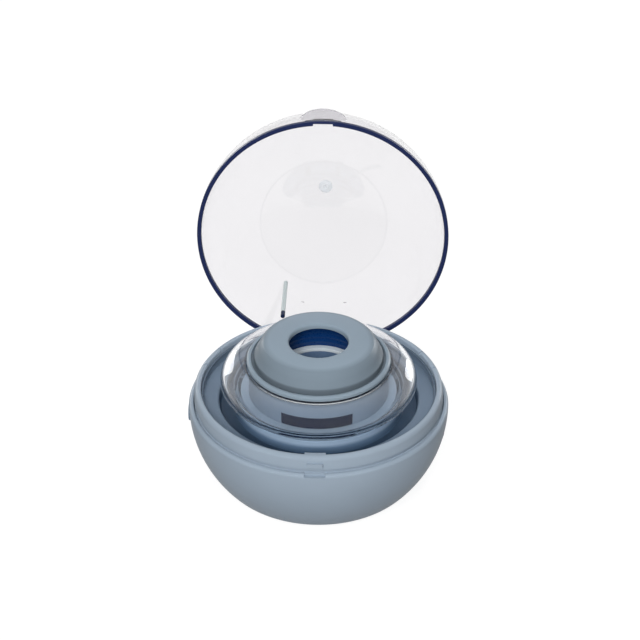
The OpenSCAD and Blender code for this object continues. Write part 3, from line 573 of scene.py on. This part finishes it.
FINISHES = {
    "pale_shell": moulded("pale_blue_grey_plastic", srgb(163, 178, 193), 0.40, 0.02),
    "slate_tray": moulded("slate_blue_plastic", srgb(122, 141, 162), 0.34, 0.03),
    "soft_flap": rubber("soft_pale_rubber", srgb(156, 172, 188), 0.6),
    "black_rubber": rubber("black_rubber", srgb(38, 40, 46)),
    "screw_steel": turned_steel("turned_steel", srgb(196, 198, 202)),
    "cell_foil": turned_steel("crimped_foil", srgb(200, 202, 206), 0.35),
    "wire_cover": moulded("wire_cover", srgb(190, 40, 34), 0.35, 0.04, 0.4),
    "board_green": circuit_board("lacquered_board", srgb(24, 96, 62), srgb(120, 132, 70)),
    "black_plastic": moulded("black_plastic", srgb(30, 32, 38), 0.5, 0.08),
    "dish_grey": moulded("bright_dish_plastic", srgb(136, 153, 170), 0.4, 0.02, 0.3, 0.003, 0.3),
    "clear_plastic": clear_plastic("clear_plastic", srgb(248, 248, 250)),
    "navy_gloss": moulded("navy_gloss_plastic", srgb(28, 46, 92), 0.2, 0.05, 0.5, 0.003, 0.4),
    "lamp_white": moulded("lamp_ceramic", srgb(236, 232, 214), 0.3, 0.02, 0.2),
}
# Looks of single pieces whose slot is shared
# Painted shade on the tray: darker towards the channel's floor and on the liner inside the ring. Beyond the
# pedestal's wall the colour is roughly halved, so that wall stays pale as painted light against the dome's
# shadow.
TRAY_PAINTED_SHADE = moulded("tray_plastic", srgb(156, 178, 202), 0.34, 0.03,
                     radii=[(PEDESTAL_R, 1.0), (PEDESTAL_R + 0.3, 0.52), (SHOULDER_R, 0.52)],
                     heights=[(CHANNEL_Z, (0.2, 0.26, 0.32)), (CHANNEL_Z + 2.2, (0.38, 0.45, 0.52)),
                              (SHOULDER_Z - 0.2, 1.0), (SHOULDER_Z + 0.5, 1.0), (SHOULDER_Z + 2, 0.75)])
# Painted shade on the cap: a darker copy of the pale shell whose slope darkens outwards from the flat top,
# darkest in the groove.
CAP_PAINTED_SHADE = moulded("cap_plastic", srgb(152, 169, 183), 0.36, 0.02,
                    radii=[(CAP_FLAT_R - 0.3, 1.0), (CAP_FLAT_R + 1.7, 0.75), (GROOVE_R - 0.4, 0.7),
                           (GROOVE_R - 0.1, 0.42), (GROOVE_R + 0.7, 0.42), (GROOVE_R + 1.1, 0.95)])
LID_CLEAR = clear_plastic("lid_clear_plastic", srgb(239, 238, 240), specular=0.06)
# Painted shade on the clear dome: its colour falls to a fifth in a narrow ring at its mouth, a dark line under
# the cap's flange.
DOME_CLEAR_PAINTED_SHADE = clear_plastic("dome_clear_plastic", srgb(246, 248, 250),
                           radii=[(CAP_R + FIT, 0.2), (CAP_R + FIT + 0.9, 1.0)])
POST_FROSTED = clear_plastic("frosted_plastic", srgb(200, 210, 210), 0.45, 0.35)
BOSS_FROSTED = clear_plastic("boss_frosted_plastic", srgb(240, 243, 245), 0.3, 0.5)
BAND_NAVY = moulded("band_navy_plastic", srgb(30, 42, 84), 0.42, 0.05, 0.5, 0.003, 0.25)
WELL_DARK = (0.03, 0.16, 0.4)  # how much of the red, green and blue is left above the ledge
WELL_NAVY = moulded("well_navy_plastic", srgb(104, 128, 160), 0.3, 0.05, 0.5, 0.003, 0.3,
                    heights=[(LEDGE_FOOT, 1.0), (LEDGE_FOOT + 0.1, WELL_DARK), (WELL_TOP, WELL_DARK)])
LEDGE_PALE = moulded("ledge_pale_plastic", srgb(226, 236, 242), 0.35, 0.0, 0.3)
FLOOR_SLATE = moulded("well_floor_plastic", srgb(104, 128, 160), 0.3, 0.03, 0.4)
WINDOW_NAVY = moulded("window_navy_plastic", srgb(10, 24, 52), 0.25, 0.05, 0.5, 0.003, 0.1)
# Painted shade: the sleeve is a darker copy of the pale shell's plastic, for its place inside the dome under the
# cap.
SLEEVE_PAINTED_SHADE = moulded("sleeve_plastic", srgb(122, 138, 156), 0.36, 0.02)
OWN_FINISHES = {"lid_magnet": moulded("magnet_cover", srgb(24, 38, 70), 0.35, 0.05)}

# ---- Base ----


def corner_of(inset):
    """Centre of the circle that rounds the belly into the flat underside, and where it starts."""
    across, deep, corner = BODY_R - inset, BELLY_DEPTH - inset, CORNER_R - inset
    low, high = 0.0, math.radians(89)
    for _ in range(40):
        t = (low + high) / 2
        slope = Vector((math.cos(t) / across, -math.sin(t) / deep)).normalized()
        centre = Vector((across * math.cos(t), BELLY_Z - deep * math.sin(t))) - corner * slope
        if centre.y > COVER_Z + inset + corner:
            low = t
        else:
            high = t
    return centre, BELLY_Z - deep * math.sin(t)


CORNERS = {inset: corner_of(inset) for inset in (0.0, WALL)}


def belly_r(z, inset=0.0):
    """Radius of the belly's outer or inner surface at a height."""
    centre, start = CORNERS[inset]
    if z < start:
        return centre.x + math.sqrt(max(0.0, (CORNER_R - inset) ** 2 - (z - centre.y) ** 2))
    return (BODY_R - inset) * math.sqrt(1 - ((BELLY_Z - z) / (BELLY_DEPTH - inset)) ** 2)


def belly(low, high, inset=0.0, steps=40):
    """Points up the belly, closer together near its foot."""
    return [(belly_r(z, inset), z) for z in (low + (high - low) * (i / steps) ** 1.6 for i in range(steps + 1))]


def base_shell():
    """The bowl, with its thumb recess, the port behind its seat, the button's bore and the hinge bay."""
    flange_z = SEAM_Z + FLANGE_T
    outline = belly(SEAM_Z, BELLY_Z)
    outline += arc((BODY_R - LIP_ROUND, LIP_Z - LIP_ROUND), LIP_ROUND, LIP_ROUND, 0, 90, 8)
    outline += [(BODY_R - LIP_W, LIP_Z), (BODY_R - LIP_W, REBATE_Z), (BODY_R - WALL, REBATE_Z)]
    outline += list(reversed(belly(flange_z, REBATE_Z - 0.3, WALL)))
    outline += [(FLANGE_R, flange_z), (FLANGE_R, SEAM_Z)]
    shell = turned("bowl", softened(outline, 0.25))
    thumb = block((-THUMB_HALF, -FAR, LIP_Z - THUMB_DEEP), (THUMB_HALF, -BODY_R + LIP_ROUND + 0.3, FAR))
    port = block((PORT_INNER_X, -PORT_HALF_W, PORT_Z - PORT_HALF_H), (FAR, PORT_HALF_W, PORT_Z + PORT_HALF_H))
    button = rod(BUTTON_R + FIT, -FAR, -30, (0, BUTTON_Z), "X")
    combine(shell, [block(*HINGE_BAY), thumb, port, flap_seat(), button])
    return hand_over(shell, "base_shell", "case", "pale_shell")


def flap_seat():
    """What the flap's seat takes out of the belly's skin, about the charging port."""
    half_w, half_h = FLAP_HALF_W + FLAP_SEAT_GAP, FLAP_HALF_H + FLAP_SEAT_GAP
    skin = [(belly_r(z) + 2.0, z) for z in (PORT_Z - 5 + i for i in range(11))]
    skin += [(belly_r(z) - FLAP_SEAT_DEEP, z) for z in (PORT_Z + 5 - i for i in range(11))]
    patch = turned("patch", skin, -14, 28, 48)
    return combine(patch, [block((30, -half_w, PORT_Z - half_h), (FAR, half_w, PORT_Z + half_h))], "INTERSECT")


def bottom_cover():
    """The plate below the bowl, with a place for the pad and sunk screw holes."""
    steps = [(belly_r(z), z) for z in (COVER_Z + (COVER_TOP - COVER_Z) * (i / 12) ** 2 for i in range(13))]
    outline = [(0, GRIP_TOP), (GRIP_R + 0.1, GRIP_TOP), (GRIP_R + 0.1, COVER_Z)] + steps + [(0, COVER_TOP)]
    cover = turned("bottom_plate", softened(outline, 0.2))
    holes = []
    for i in range(COVER_SCREWS):
        angle = math.tau * i / COVER_SCREWS
        spot = (COVER_SCREW_CIRCLE * math.cos(angle), COVER_SCREW_CIRCLE * math.sin(angle))
        holes.append(rod(SCREW_WELL_R, -5, COVER_Z + SCREW_WELL_DEEP, spot, steps=48))
    combine(cover, holes)
    return hand_over(cover, "bottom_cover", "case", "pale_shell")


def grip_pad():
    """The round rubber pad, with fine rings in its underside."""
    outline = [(0, 0)]
    for ring in (5.0, 10.0, 15.0):
        outline += [(ring - 0.6, 0), (ring - 0.4, 0.25), (ring + 0.4, 0.25), (ring + 0.6, 0)]
    outline += [(GRIP_R, 0), (GRIP_R, GRIP_TOP), (0, GRIP_TOP)]
    return hand_over(turned("rubber_pad", softened(outline, 0.15)), "grip_pad", "case", "black_rubber")


# ---- Rim ring and tray ----


def rim_ring():
    """The ring on the bowl's lip, with the catch's nub, its rib, two snap tabs and a gap at the hinge."""
    inner, skirt = RING_R - RING_W, RING_R - SKIRT_T
    gap_r, gap_z = RING_R - SHADOW_GAP_W, PARTING_Z + SHADOW_GAP_H
    outline = [(skirt, REBATE_Z + 0.1), (RING_R, REBATE_Z + 0.1), (RING_R, LIP_Z - 0.8), (gap_r, LIP_Z - 0.5),
               (gap_r, gap_z - 0.3), (RING_R, gap_z), (RING_R - 0.1, RING_Z - RING_ROUND - 1)]
    outline += arc((RING_R - 0.2 - RING_ROUND, RING_Z - RING_ROUND), RING_ROUND, RING_ROUND, 0, 90, 10)
    outline += [(inner + 0.3, RING_Z - 0.05), (inner, RING_Z - 0.4), (inner, SHOULDER_Z + 0.05),
                (skirt, SHOULDER_Z + 0.05)]
    ring = turned("collar", softened(outline, 0.2))
    nub = slab("nub", softened(oblong(-NUB_HALF_W, -RING_R - 0.6, NUB_HALF_W, -RING_R + 0.8), 0.3),
               NUB_Z - NUB_HALF_H, NUB_Z + NUB_HALF_H)
    rib_section = oblong(inner - NUB_RIB_HALF_T, RING_Z - 1.8, inner + NUB_RIB_HALF_T, RING_Z - 0.1)
    rib = turned("rib", softened(rib_section, 0.15), -90 - NUB_RIB_DEG, 2 * NUB_RIB_DEG, 24)
    combine(ring, [nub, rib], "UNION")
    cuts = [block((-RING_GAP_HALF, 0, SHOULDER_Z + 0.1), (RING_GAP_HALF, FAR, FAR)), block(*HINGE_BAY)]
    for middle in SNAP_TABS_DEG:
        for side in (-SNAP_TAB_HALF_DEG, SNAP_TAB_HALF_DEG):
            slit = block((inner - 1, -SNAP_SLIT_HALF, RING_Z - SNAP_SLIT_DEEP),
                         (inner + RING_W - 0.5, SNAP_SLIT_HALF, RING_Z + 1))
            cuts.append(placed(slit, Matrix.Rotation(math.radians(middle + side), 4, "Z")))
    combine(ring, cuts)
    return hand_over(ring, "rim_ring", "case", "pale_shell")


def inner_tray():
    """Shoulder, channel and pedestal in one, with the liner inside the ring."""
    opening = WELL_RIM_R + FIT
    outline = [(opening, DECK_Z - TRAY_T), (opening, DECK_Z), (PEDESTAL_R, DECK_Z), (PEDESTAL_R, CHANNEL_Z),
               (SHOULDER_R - 0.6, CHANNEL_Z), (SHOULDER_R, SHOULDER_Z - 0.5), (SHOULDER_R + 0.5, SHOULDER_Z),
               (TRAY_R, SHOULDER_Z), (TRAY_R, SHOULDER_Z - TRAY_T), (SHOULDER_R + TRAY_T, SHOULDER_Z - TRAY_T),
               (SHOULDER_R + TRAY_T - 0.6, CHANNEL_Z - TRAY_T), (PEDESTAL_R - 1.4, CHANNEL_Z - TRAY_T),
               (PEDESTAL_R - 1.4, DECK_Z - TRAY_T)]
    tray = turned("tray", softened(outline, 0.4))
    edge, high = RING_R - RING_W - 0.1, RING_Z - 1.9
    liner = turned("liner", softened(oblong(edge - LINER_T, SHOULDER_Z - 0.7, edge, high), 0.15))
    combine(liner, [block((-RING_GAP_HALF, 0, SHOULDER_Z), (RING_GAP_HALF, FAR, FAR))])
    combine(tray, [liner], "UNION")
    pocket = rod(POCKET_R, SHOULDER_Z - 1.6, FAR, POCKET_PLACE)
    slots = [block((x - ARM_SLOT_HALF, HINGE_Y - 2, HINGE_BAY_Z), (x + ARM_SLOT_HALF, FAR, FAR))
             for x in (-ARM_X, ARM_X)]
    combine(tray, [pocket] + slots)
    return hand_over(tray, "inner_tray", "case", "slate_tray", TRAY_PAINTED_SHADE)


# ---- Chamber ----


def reflector_dish():
    outline = oblong(DISH_HOLE_R, DECK_Z, PEDESTAL_R - 0.2, DISH_Z)
    return hand_over(turned("dish", softened(outline, 0.3)), "reflector_dish", "case", "dish_grey")


def dome_side(inset):
    """The dome's outline from its foot up to its mouth: two quarter ellipses that meet at its widest."""
    foot_r, mouth_r = PEDESTAL_R - 1, CAP_R + FIT
    low = arc((foot_r, DOME_MID_Z), DOME_R - foot_r - inset, DOME_MID_Z - DISH_Z - 1 - inset, -75, 0, 24)
    high = arc((mouth_r, DOME_MID_Z), DOME_R - mouth_r - inset, DOME_TOP - DOME_MID_Z - inset, 3, 90, 30)
    return low + high


def clear_dome():
    outline = [(PEDESTAL_R - 1 - DOME_T, DISH_Z), (PEDESTAL_R - 0.4, DISH_Z)]
    outline += dome_side(0) + list(reversed(dome_side(DOME_T)))
    dome = turned("dome", softened(outline, 0.2))
    return hand_over(dome, "clear_dome", "case", "clear_plastic", DOME_CLEAR_PAINTED_SHADE, 40)


def cap_sleeve():
    """The upright tube under the cap, with a recess for its window."""
    outline = oblong(SLEEVE_R - SLEEVE_T, DISH_Z, SLEEVE_R, SLEEVE_TOP)
    sleeve = turned("sleeve", softened(outline, 0.3))
    recess = oblong(SLEEVE_R - 0.85, WINDOW_LOW - 0.05, SLEEVE_R + 1, WINDOW_HIGH + 0.05)
    combine(sleeve, [turned("recess", recess, -120.1, 60.2, 48)])
    return hand_over(sleeve, "cap_sleeve", "case", "pale_shell", SLEEVE_PAINTED_SHADE)


def sleeve_window():
    outline = oblong(SLEEVE_R - 0.8, WINDOW_LOW, SLEEVE_R - 0.05, WINDOW_HIGH)
    window = turned("window", softened(outline, 0.25), -120, 60, 48)
    return hand_over(window, "sleeve_window", "case", "navy_gloss", WINDOW_NAVY)


def holder_cap():
    """The lift-off cap: a crown with the teat's hole, a groove, a flange on the sleeve and a skirt in it."""
    edge = FLANGE_UNDER + CAP_FLANGE_T
    inner = SLEEVE_R - SLEEVE_T - FIT
    outline = [(HOLE_R, CAP_Z - 0.7), (HOLE_R + 0.25, CAP_Z - 0.22), (HOLE_R + 0.7, CAP_Z), (CAP_FLAT_R, CAP_Z),
               (CAP_FLAT_R + 1.6, CAP_Z - 0.55), (CAP_FLAT_R + 2.7, CAP_Z - 1.7), (CAP_FLAT_R + 3.4, CAP_Z - 3.1),
               (GROOVE_R - 1, CAP_Z - 4.4), (GROOVE_R - 0.2, CAP_Z - 5.5), (GROOVE_R, edge + 0.2),
               (GROOVE_R, edge - GROOVE_DEPTH), (GROOVE_R + GROOVE_W, edge - GROOVE_DEPTH),
               (GROOVE_R + GROOVE_W + 0.1, edge - 0.1), (GROOVE_R + GROOVE_W + 0.5, edge),
               (CAP_R - 0.6, edge - 0.1), (CAP_R, edge - 0.7), (CAP_R, FLANGE_UNDER),
               (inner, FLANGE_UNDER), (inner, CAP_FOOT), (inner - 1.6, CAP_FOOT),
               (inner - 1.6, CAP_Z - 5.5 - CAP_T / 2), (CAP_FLAT_R, CAP_Z - CAP_T - 0.6),
               (CAP_FLAT_R - 2, CAP_Z - CAP_T), (HOLE_R, CAP_Z - CAP_T)]
    return hand_over(turned("cap", softened(outline, 0.15)), "holder_cap", "cap", "pale_shell", CAP_PAINTED_SHADE, 40)


def cap_gasket():
    outline = oblong(SLEEVE_R - SLEEVE_T + 0.1, foot("cap_gasket"), radius("cap_gasket"), top("cap_gasket"))
    return hand_over(turned("gasket", softened(outline, 0.15)), "cap_gasket", "cap", "black_rubber")


def teat_well():
    """The dark tube below the hole, with fine ridges round its upper wall."""
    outer = WELL_R + WELL_T
    flange = SLEEVE_R - SLEEVE_T - FIT
    outline = [(WELL_LOW_R, DISC_TOP), (WELL_LOW_R, LEDGE_FOOT), (WELL_R, LEDGE_FOOT)]
    for ridge in range(RIDGES):
        z = LEDGE_Z + 1.2 + ridge * RIDGE_STEP
        outline += [(WELL_R, z), (WELL_R - RIDGE_OUT, z + 0.35), (WELL_R, z + 0.7)]
    outline += [(WELL_R, WELL_TOP), (outer, WELL_TOP), (outer, DISH_Z + WELL_T), (flange, DISH_Z + WELL_T),
                (flange, DISH_Z), (outer, DISH_Z), (outer, DISC_TOP + WELL_RIM_T),
                (WELL_RIM_R, DISC_TOP + WELL_RIM_T), (WELL_RIM_R, WELL_FOOT),
                (WELL_LOW_R + 1, WELL_FOOT), (WELL_LOW_R + 1, DISC_TOP)]
    return hand_over(turned("well_tube", softened(outline, 0.15)), "teat_well", "case", "navy_gloss", WELL_NAVY)


def ledge_ring():
    outline = oblong(WELL_LOW_R, LEDGE_FOOT, WELL_R - 0.02, LEDGE_Z)
    return hand_over(turned("ledge", softened(outline, 0.25)), "ledge_ring", "case", "dish_grey", LEDGE_PALE)


def well_disc():
    outline = oblong(0, foot("well_disc"), radius("well_disc"), DISC_TOP)
    disc = turned("well_floor", softened(outline, 0.2))
    return hand_over(disc, "well_disc", "case", "clear_plastic", FLOOR_SLATE)


# ---- Lid ----


def lid_wall(low, high_deg, name):
    """The clear wall of the closed lid, from a height up to its crown."""
    start_out = math.degrees(math.asin((low - LID_Z) / LID_R))
    start_in = math.degrees(math.asin((low - LID_Z) / LID_IN_R))
    outline = arc((0, LID_Z), LID_R, LID_R, start_out, high_deg, 64)
    outline += arc((0, LID_Z), LID_IN_R, LID_IN_R, high_deg, start_in, 64)
    return turned(name, outline)


def catch_pocket():
    """What the catch's pocket takes out of the wall and the band, over the nub."""
    return block((-CATCH_HALF, -LID_IN_R - 0.7, LID_Z - 1), (CATCH_HALF, -30, PARTING_Z + 4.2))


def lid_shell():
    """The clear lid in one with its tab and hinge arms, and the two small forms inside it."""
    lid = lid_wall(BAND_Z, 90, "lid")
    grown = [finger_tab()]
    reach = math.sqrt(LID_IN_R ** 2 - (ARM_X + ARM_HALF_T) ** 2) - 0.1
    for x in (-ARM_X, ARM_X):
        grown += hinge_arm(x, reach)
    for other in grown:
        combine(lid, [other], "UNION")
    bores = [rod(PIN_R + 0.05, x - 3, x + 3, (HINGE_Y, HINGE_Z), "X", 48) for x in (-ARM_X, ARM_X)]
    combine(lid, bores + [catch_pocket()])
    interlock_post()
    gate_boss()
    return hand_over(swung(lid), "lid_shell", "lid", "clear_plastic", LID_CLEAR, 40)


def interlock_post():
    """The frosted post on the lid's wall, down to the magnet in its tip."""
    wall_z = LID_Z + math.sqrt(LID_IN_R ** 2 - POST_X ** 2 - POST_Y ** 2)
    post = rod(POST_R, SHOULDER_Z - 1.1 + MAGNET_L, wall_z + 0.2, (POST_X, POST_Y), steps=32)
    return hand_over(swung(post), None, "lid", "clear_plastic", POST_FROSTED)


def gate_boss():
    """The low round boss inside the lid's crown, with a ring moulded into it."""
    crown = LID_Z + LID_IN_R
    outline = [(0, crown + 0.3), (0, crown - 0.6), (0.5, crown - 0.6), (0.7, crown - 0.9), (1.1, crown - 0.9),
               (1.4, crown - 0.55), (2.1, crown - 0.5), (2.5, crown - 0.3), (2.6, crown), (2.6, crown + 0.3)]
    return hand_over(swung(turned("gate", softened(outline, 0.15), steps=64)), None, "lid", "clear_plastic",
                     BOSS_FROSTED)


def finger_tab():
    """A half round tab in the plane of the rim."""
    outline = [(TAB_HALF * math.cos(math.radians(a)), -LID_R + 0.6 + TAB_DEEP * math.sin(math.radians(a)))
               for a in range(180, 361, 5)]
    tab = slab("tab", outline, BAND_Z, BAND_Z + TAB_T)
    bevel = tab.modifiers.new("edge", "BEVEL")
    bevel.width = 0.35 * MM
    bevel.segments = 3
    return settled(tab)


def hinge_arm(x, reach):
    """A knuckle on the pin, a web up to the rim, and a rib on up the lid's inner wall."""
    knuckle = rod(KNUCKLE_R, x - ARM_HALF_T, x + ARM_HALF_T, (HINGE_Y, HINGE_Z), "X", 48)
    side_view = [(reach - 2, BAND_Z + 3), (reach - 2, LID_Z - 1), (HINGE_Y - KNUCKLE_R, HINGE_Z + 0.4),
                 (HINGE_Y + 2, HINGE_Z), (reach, HINGE_Z + 3), (reach, BAND_Z + 3)]
    web = slab("web", side_view, x - ARM_HALF_T, x + ARM_HALF_T, "X")
    inner = LID_IN_R - LID_RIB_DEEP
    wall_r = LID_IN_R + 0.5
    rib_outline = [(wall_r * math.cos(a), LID_Z + wall_r * math.sin(a)) for a in rib_angles(wall_r)]
    rib_outline += [(inner * math.cos(a), LID_Z + inner * math.sin(a)) for a in reversed(rib_angles(inner))]
    rib = slab("rib", rib_outline, x - LID_RIB_HALF_T, x + LID_RIB_HALF_T, "X")
    return [knuckle, web, rib]


def rib_angles(across):
    """Angles up the lid's wall that a hinge rib covers, at a radius."""
    start, end = math.asin(BAND_H / across), math.asin((BAND_H + LID_RIB_RISE) / across)
    return [start + (end - start) * i / 12 for i in range(13)]


def lid_band():
    """The dark band at the lid's rim, which follows the wall's curve."""
    outline = [(math.sqrt(LID_R ** 2 - (z - LID_Z) ** 2), z) for z in (LID_Z, (LID_Z + BAND_Z) / 2, BAND_Z)]
    outline += [(math.sqrt(LID_IN_R ** 2 - (z - LID_Z) ** 2), z) for z in (BAND_Z, (LID_Z + BAND_Z) / 2, LID_Z)]
    band = combine(turned("band", softened(outline, 0.2)), [catch_pocket()])
    return hand_over(swung(band), "lid_band", "lid", "navy_gloss", BAND_NAVY)


# ---- Small pieces ----


def power_button():
    """Turned about the upright axis, then laid along X."""
    outline = oblong(0, BUTTON_OUT, BUTTON_R, BUTTON_BACK)
    button = turned("button", softened(outline, 0.45, 6), steps=64)
    placed(button, Matrix.Translation((0, 0, BUTTON_Z)) @ Matrix.Rotation(math.radians(90), 4, "Y"))
    return hand_over(button, "power_button", "button", "slate_tray")


def cross_head_screw():
    """One screw head with its crossed recess, centred on the axis and facing down."""
    head = turned("head", softened(oblong(0, 0, SCREW_WELL_R - 0.1, SCREW_WELL_DEEP), 0.35), steps=32)
    arms = [block((-1.1, -0.22, -1), (1.1, 0.22, 0.6)), block((-0.22, -1.1, -1), (0.22, 1.1, 0.6))]
    return combine(head, arms)


def round_the_axis(name, pattern, count, circle_mm, finish):
    """A tree that stands a number of copies of a piece on a circle, and the plain mesh that it gives."""
    tree = bpy.data.node_groups.new(name + "_on_a_circle", "GeometryNodeTree")
    for label, kind in (("Pattern", "Object"), ("Count", "Int"), ("Circle", "Float")):
        tree.interface.new_socket(label, in_out="INPUT", socket_type="NodeSocket" + kind)
    tree.interface.new_socket("Geometry", in_out="OUTPUT", socket_type="NodeSocketGeometry")
    nodes, links = tree.nodes, tree.links
    given, result = nodes.new("NodeGroupInput"), nodes.new("NodeGroupOutput")
    circle, source = nodes.new("GeometryNodeMeshCircle"), nodes.new("GeometryNodeObjectInfo")
    copies, real = nodes.new("GeometryNodeInstanceOnPoints"), nodes.new("GeometryNodeRealizeInstances")
    paint = nodes.new("GeometryNodeSetMaterial")
    paint.inputs["Material"].default_value = finish
    links.new(given.outputs["Pattern"], source.inputs["Object"])
    links.new(given.outputs["Count"], circle.inputs["Vertices"])
    links.new(given.outputs["Circle"], circle.inputs["Radius"])
    links.new(circle.outputs["Mesh"], copies.inputs["Points"])
    links.new(source.outputs["Geometry"], copies.inputs["Instance"])
    links.new(copies.outputs["Instances"], real.inputs["Geometry"])
    links.new(real.outputs["Geometry"], paint.inputs["Geometry"])
    links.new(paint.outputs["Geometry"], result.inputs["Geometry"])
    piece = bpy.data.objects.new(name, bpy.data.meshes.new(name))
    bpy.context.scene.collection.objects.link(piece)
    step = piece.modifiers.new("repeat", "NODES")
    step.node_group = tree
    values = {"Pattern": pattern, "Count": count, "Circle": circle_mm * MM}
    for socket in tree.interface.items_tree:
        if socket.in_out == "INPUT":
            step[socket.identifier] = values[socket.name]
    settled(piece)
    bpy.data.objects.remove(pattern)
    return piece


def cover_screws():
    """The heads of the cover's screws, in their sunk holes."""
    screws = round_the_axis("cross_screws", cross_head_screw(), COVER_SCREWS, COVER_SCREW_CIRCLE,
                            FINISHES["screw_steel"])
    placed(screws, Matrix.Translation((0, 0, COVER_Z)))
    return hand_over(screws, "cover_screws", "case", "screw_steel")


def dress_the_rest():
    """Every node that still shows gets its slot's finish."""
    slots = {part["node"]: part["material_slot"] for part in frame["record"]["subparts"]}
    for node, piece in frame["nodes"].items():
        finish = OWN_FINISHES.get(node, FINISHES[slots[node]])
        if piece.material_slots:
            for place in piece.material_slots:
                place.material = finish
        else:
            piece.data.materials.append(finish)


# ---- Camera, floor and light ----


PHOTO_SIDE = 640  # pixels
FOCAL_LENGTH = 2066  # pixels


def aim_camera():
    """The camera from which the photograph's outlines fit best."""
    azimuth, elevation, distance = math.radians(1.6), math.radians(32.87), 0.7
    away = Vector((math.sin(azimuth) * math.cos(elevation), -math.cos(azimuth) * math.cos(elevation),
                   math.sin(elevation)))
    right = Vector((math.cos(azimuth), math.sin(azimuth), 0))
    target = right * 0.000466 + Vector((0, 0, (PARTING_Z + 31.8) * MM))
    data = bpy.data.cameras.new("photo_camera")
    data.sensor_width = 36.0
    data.lens = FOCAL_LENGTH / PHOTO_SIDE * data.sensor_width
    data.clip_start, data.clip_end = 0.01, 20.0
    camera = bpy.data.objects.new("photo_camera", data)
    camera.location = target + away * distance
    camera.rotation_mode = "QUATERNION"
    camera.rotation_quaternion = (-away).to_track_quat("-Z", "Y")
    bpy.context.scene.collection.objects.link(camera)
    bpy.context.scene.camera = camera


def joined(nodes, links, operation, one, two):
    """One number made of two."""
    step = nodes.new("ShaderNodeMath")
    step.operation = operation
    links.new(one, step.inputs[0])
    links.new(two, step.inputs[1])
    return step.outputs["Value"]


def mirrored_share(nodes, links, place, front, back):
    """How much of the white background shows in gloss: all of it behind the case, less of it in front."""
    spot, parts = nodes.new("ShaderNodeTexCoord"), nodes.new("ShaderNodeSeparateXYZ")
    share = nodes.new("ShaderNodeMapRange")
    share.inputs["From Min"].default_value = front
    share.inputs["From Max"].default_value = back
    share.inputs["To Min"].default_value = 0.1
    links.new(spot.outputs[place], parts.inputs["Vector"])
    links.new(parts.outputs["Y"], share.inputs["Value"])
    return share.outputs["Result"]


def level_of(nodes, links, otherwise, seen, place, front, back):
    """One strength for what is seen, also through or in the case, and another for the light on the case."""
    light = nodes.new("ShaderNodeLightPath")
    share = mirrored_share(nodes, links, place, front, back)
    gloss = joined(nodes, links, "MULTIPLY", light.outputs["Is Glossy Ray"], share)
    straight, through = light.outputs["Is Camera Ray"], light.outputs["Is Transmission Ray"]
    direct = joined(nodes, links, "MAXIMUM", straight, through)
    level = nodes.new("ShaderNodeMapRange")
    level.inputs["To Min"].default_value = otherwise
    level.inputs["To Max"].default_value = seen
    links.new(joined(nodes, links, "MAXIMUM", direct, gloss), level.inputs["Value"])
    return level.outputs["Result"]


def lay_floor():
    """White paper that shows shadows and glows just enough to look white to the camera."""
    shape = bmesh.new()
    bmesh.ops.create_grid(shape, x_segments=1, y_segments=1, size=4.0 / MM)
    floor = new_piece("floor", shape)
    finish = Finish("white_paper")
    fine = finish.noise(400.0)
    finish.feed("Base Color", finish.ramp(fine, srgb(126, 126, 126), srgb(128, 128, 128)))
    finish.set(Roughness=0.9, Specular_IOR_Level=0.0)
    glow = finish.nodes.new("ShaderNodeEmission")
    glow.inputs["Color"].default_value = (1, 1, 1, 1)
    level = level_of(finish.nodes, finish.links, 0.08, 0.88, "Object", -0.4, 0.3)
    finish.links.new(level, glow.inputs["Strength"])
    both = finish.nodes.new("ShaderNodeAddShader")
    finish.links.new(finish.shader.outputs["BSDF"], both.inputs[0])
    finish.links.new(glow.outputs["Emission"], both.inputs[1])
    finish.links.new(both.outputs["Shader"], finish.output.inputs["Surface"])
    floor.data.materials.append(finish.material)


def light_world(strength):
    world = bpy.data.worlds.new("studio")
    bpy.context.scene.world = world
    world.use_nodes = True
    nodes, links = world.node_tree.nodes, world.node_tree.links
    sky = nodes["Background"]
    sky.inputs["Color"].default_value = (1, 1, 1, 1)
    links.new(level_of(nodes, links, strength, 1.0, "Generated", -0.1, 0.6), sky.inputs["Strength"])


def soft_box(name, place, width, height, watts, mirrored=False):
    """A lamp that faces the case; the mirrored ones only show as bright patches in clear plastic."""
    data = bpy.data.lights.new(name, "AREA")
    data.shape = "ELLIPSE" if mirrored else "RECTANGLE"
    data.size, data.size_y = width, height
    data.energy = watts
    lamp = bpy.data.objects.new(name, data)
    lamp.visible_glossy = mirrored
    lamp.visible_diffuse = not mirrored
    lamp.visible_transmission = False
    lamp.location = place
    lamp.rotation_mode = "QUATERNION"
    lamp.rotation_quaternion = (Vector((0, 0, 0.04)) - Vector(place)).to_track_quat("-Z", "Y")
    bpy.context.scene.collection.objects.link(lamp)


def plain_colours():
    bpy.context.scene.view_settings.view_transform = "Standard"


def make_case():
    for make in (base_shell, bottom_cover, grip_pad, rim_ring, inner_tray, reflector_dish, clear_dome, cap_sleeve,
                 sleeve_window, holder_cap, cap_gasket, teat_well, ledge_ring, well_disc, lid_shell, lid_band,
                 power_button, cover_screws):
        make()
    for node, body, slot in (("port_flap", "flap", "soft_flap"), ("hinge_block", "case", "pale_shell")):
        hand_over(copied(node), node, body, slot)
    dress_the_rest()


plain_colours()
aim_camera()
lay_floor()
light_world(0.12)
soft_box("key", (-0.1, -0.95, 0.75), 0.5, 0.5, 12)
soft_box("back", (0.1, 0.9, 0.72), 0.5, 0.5, 5)
soft_box("left_strip", (-0.6, 0.85, 0.1), 0.4, 0.8, 5, mirrored=True)
soft_box("right_strip", (0.66, 0.82, 0.1), 0.4, 0.8, 6, mirrored=True)
make_case()
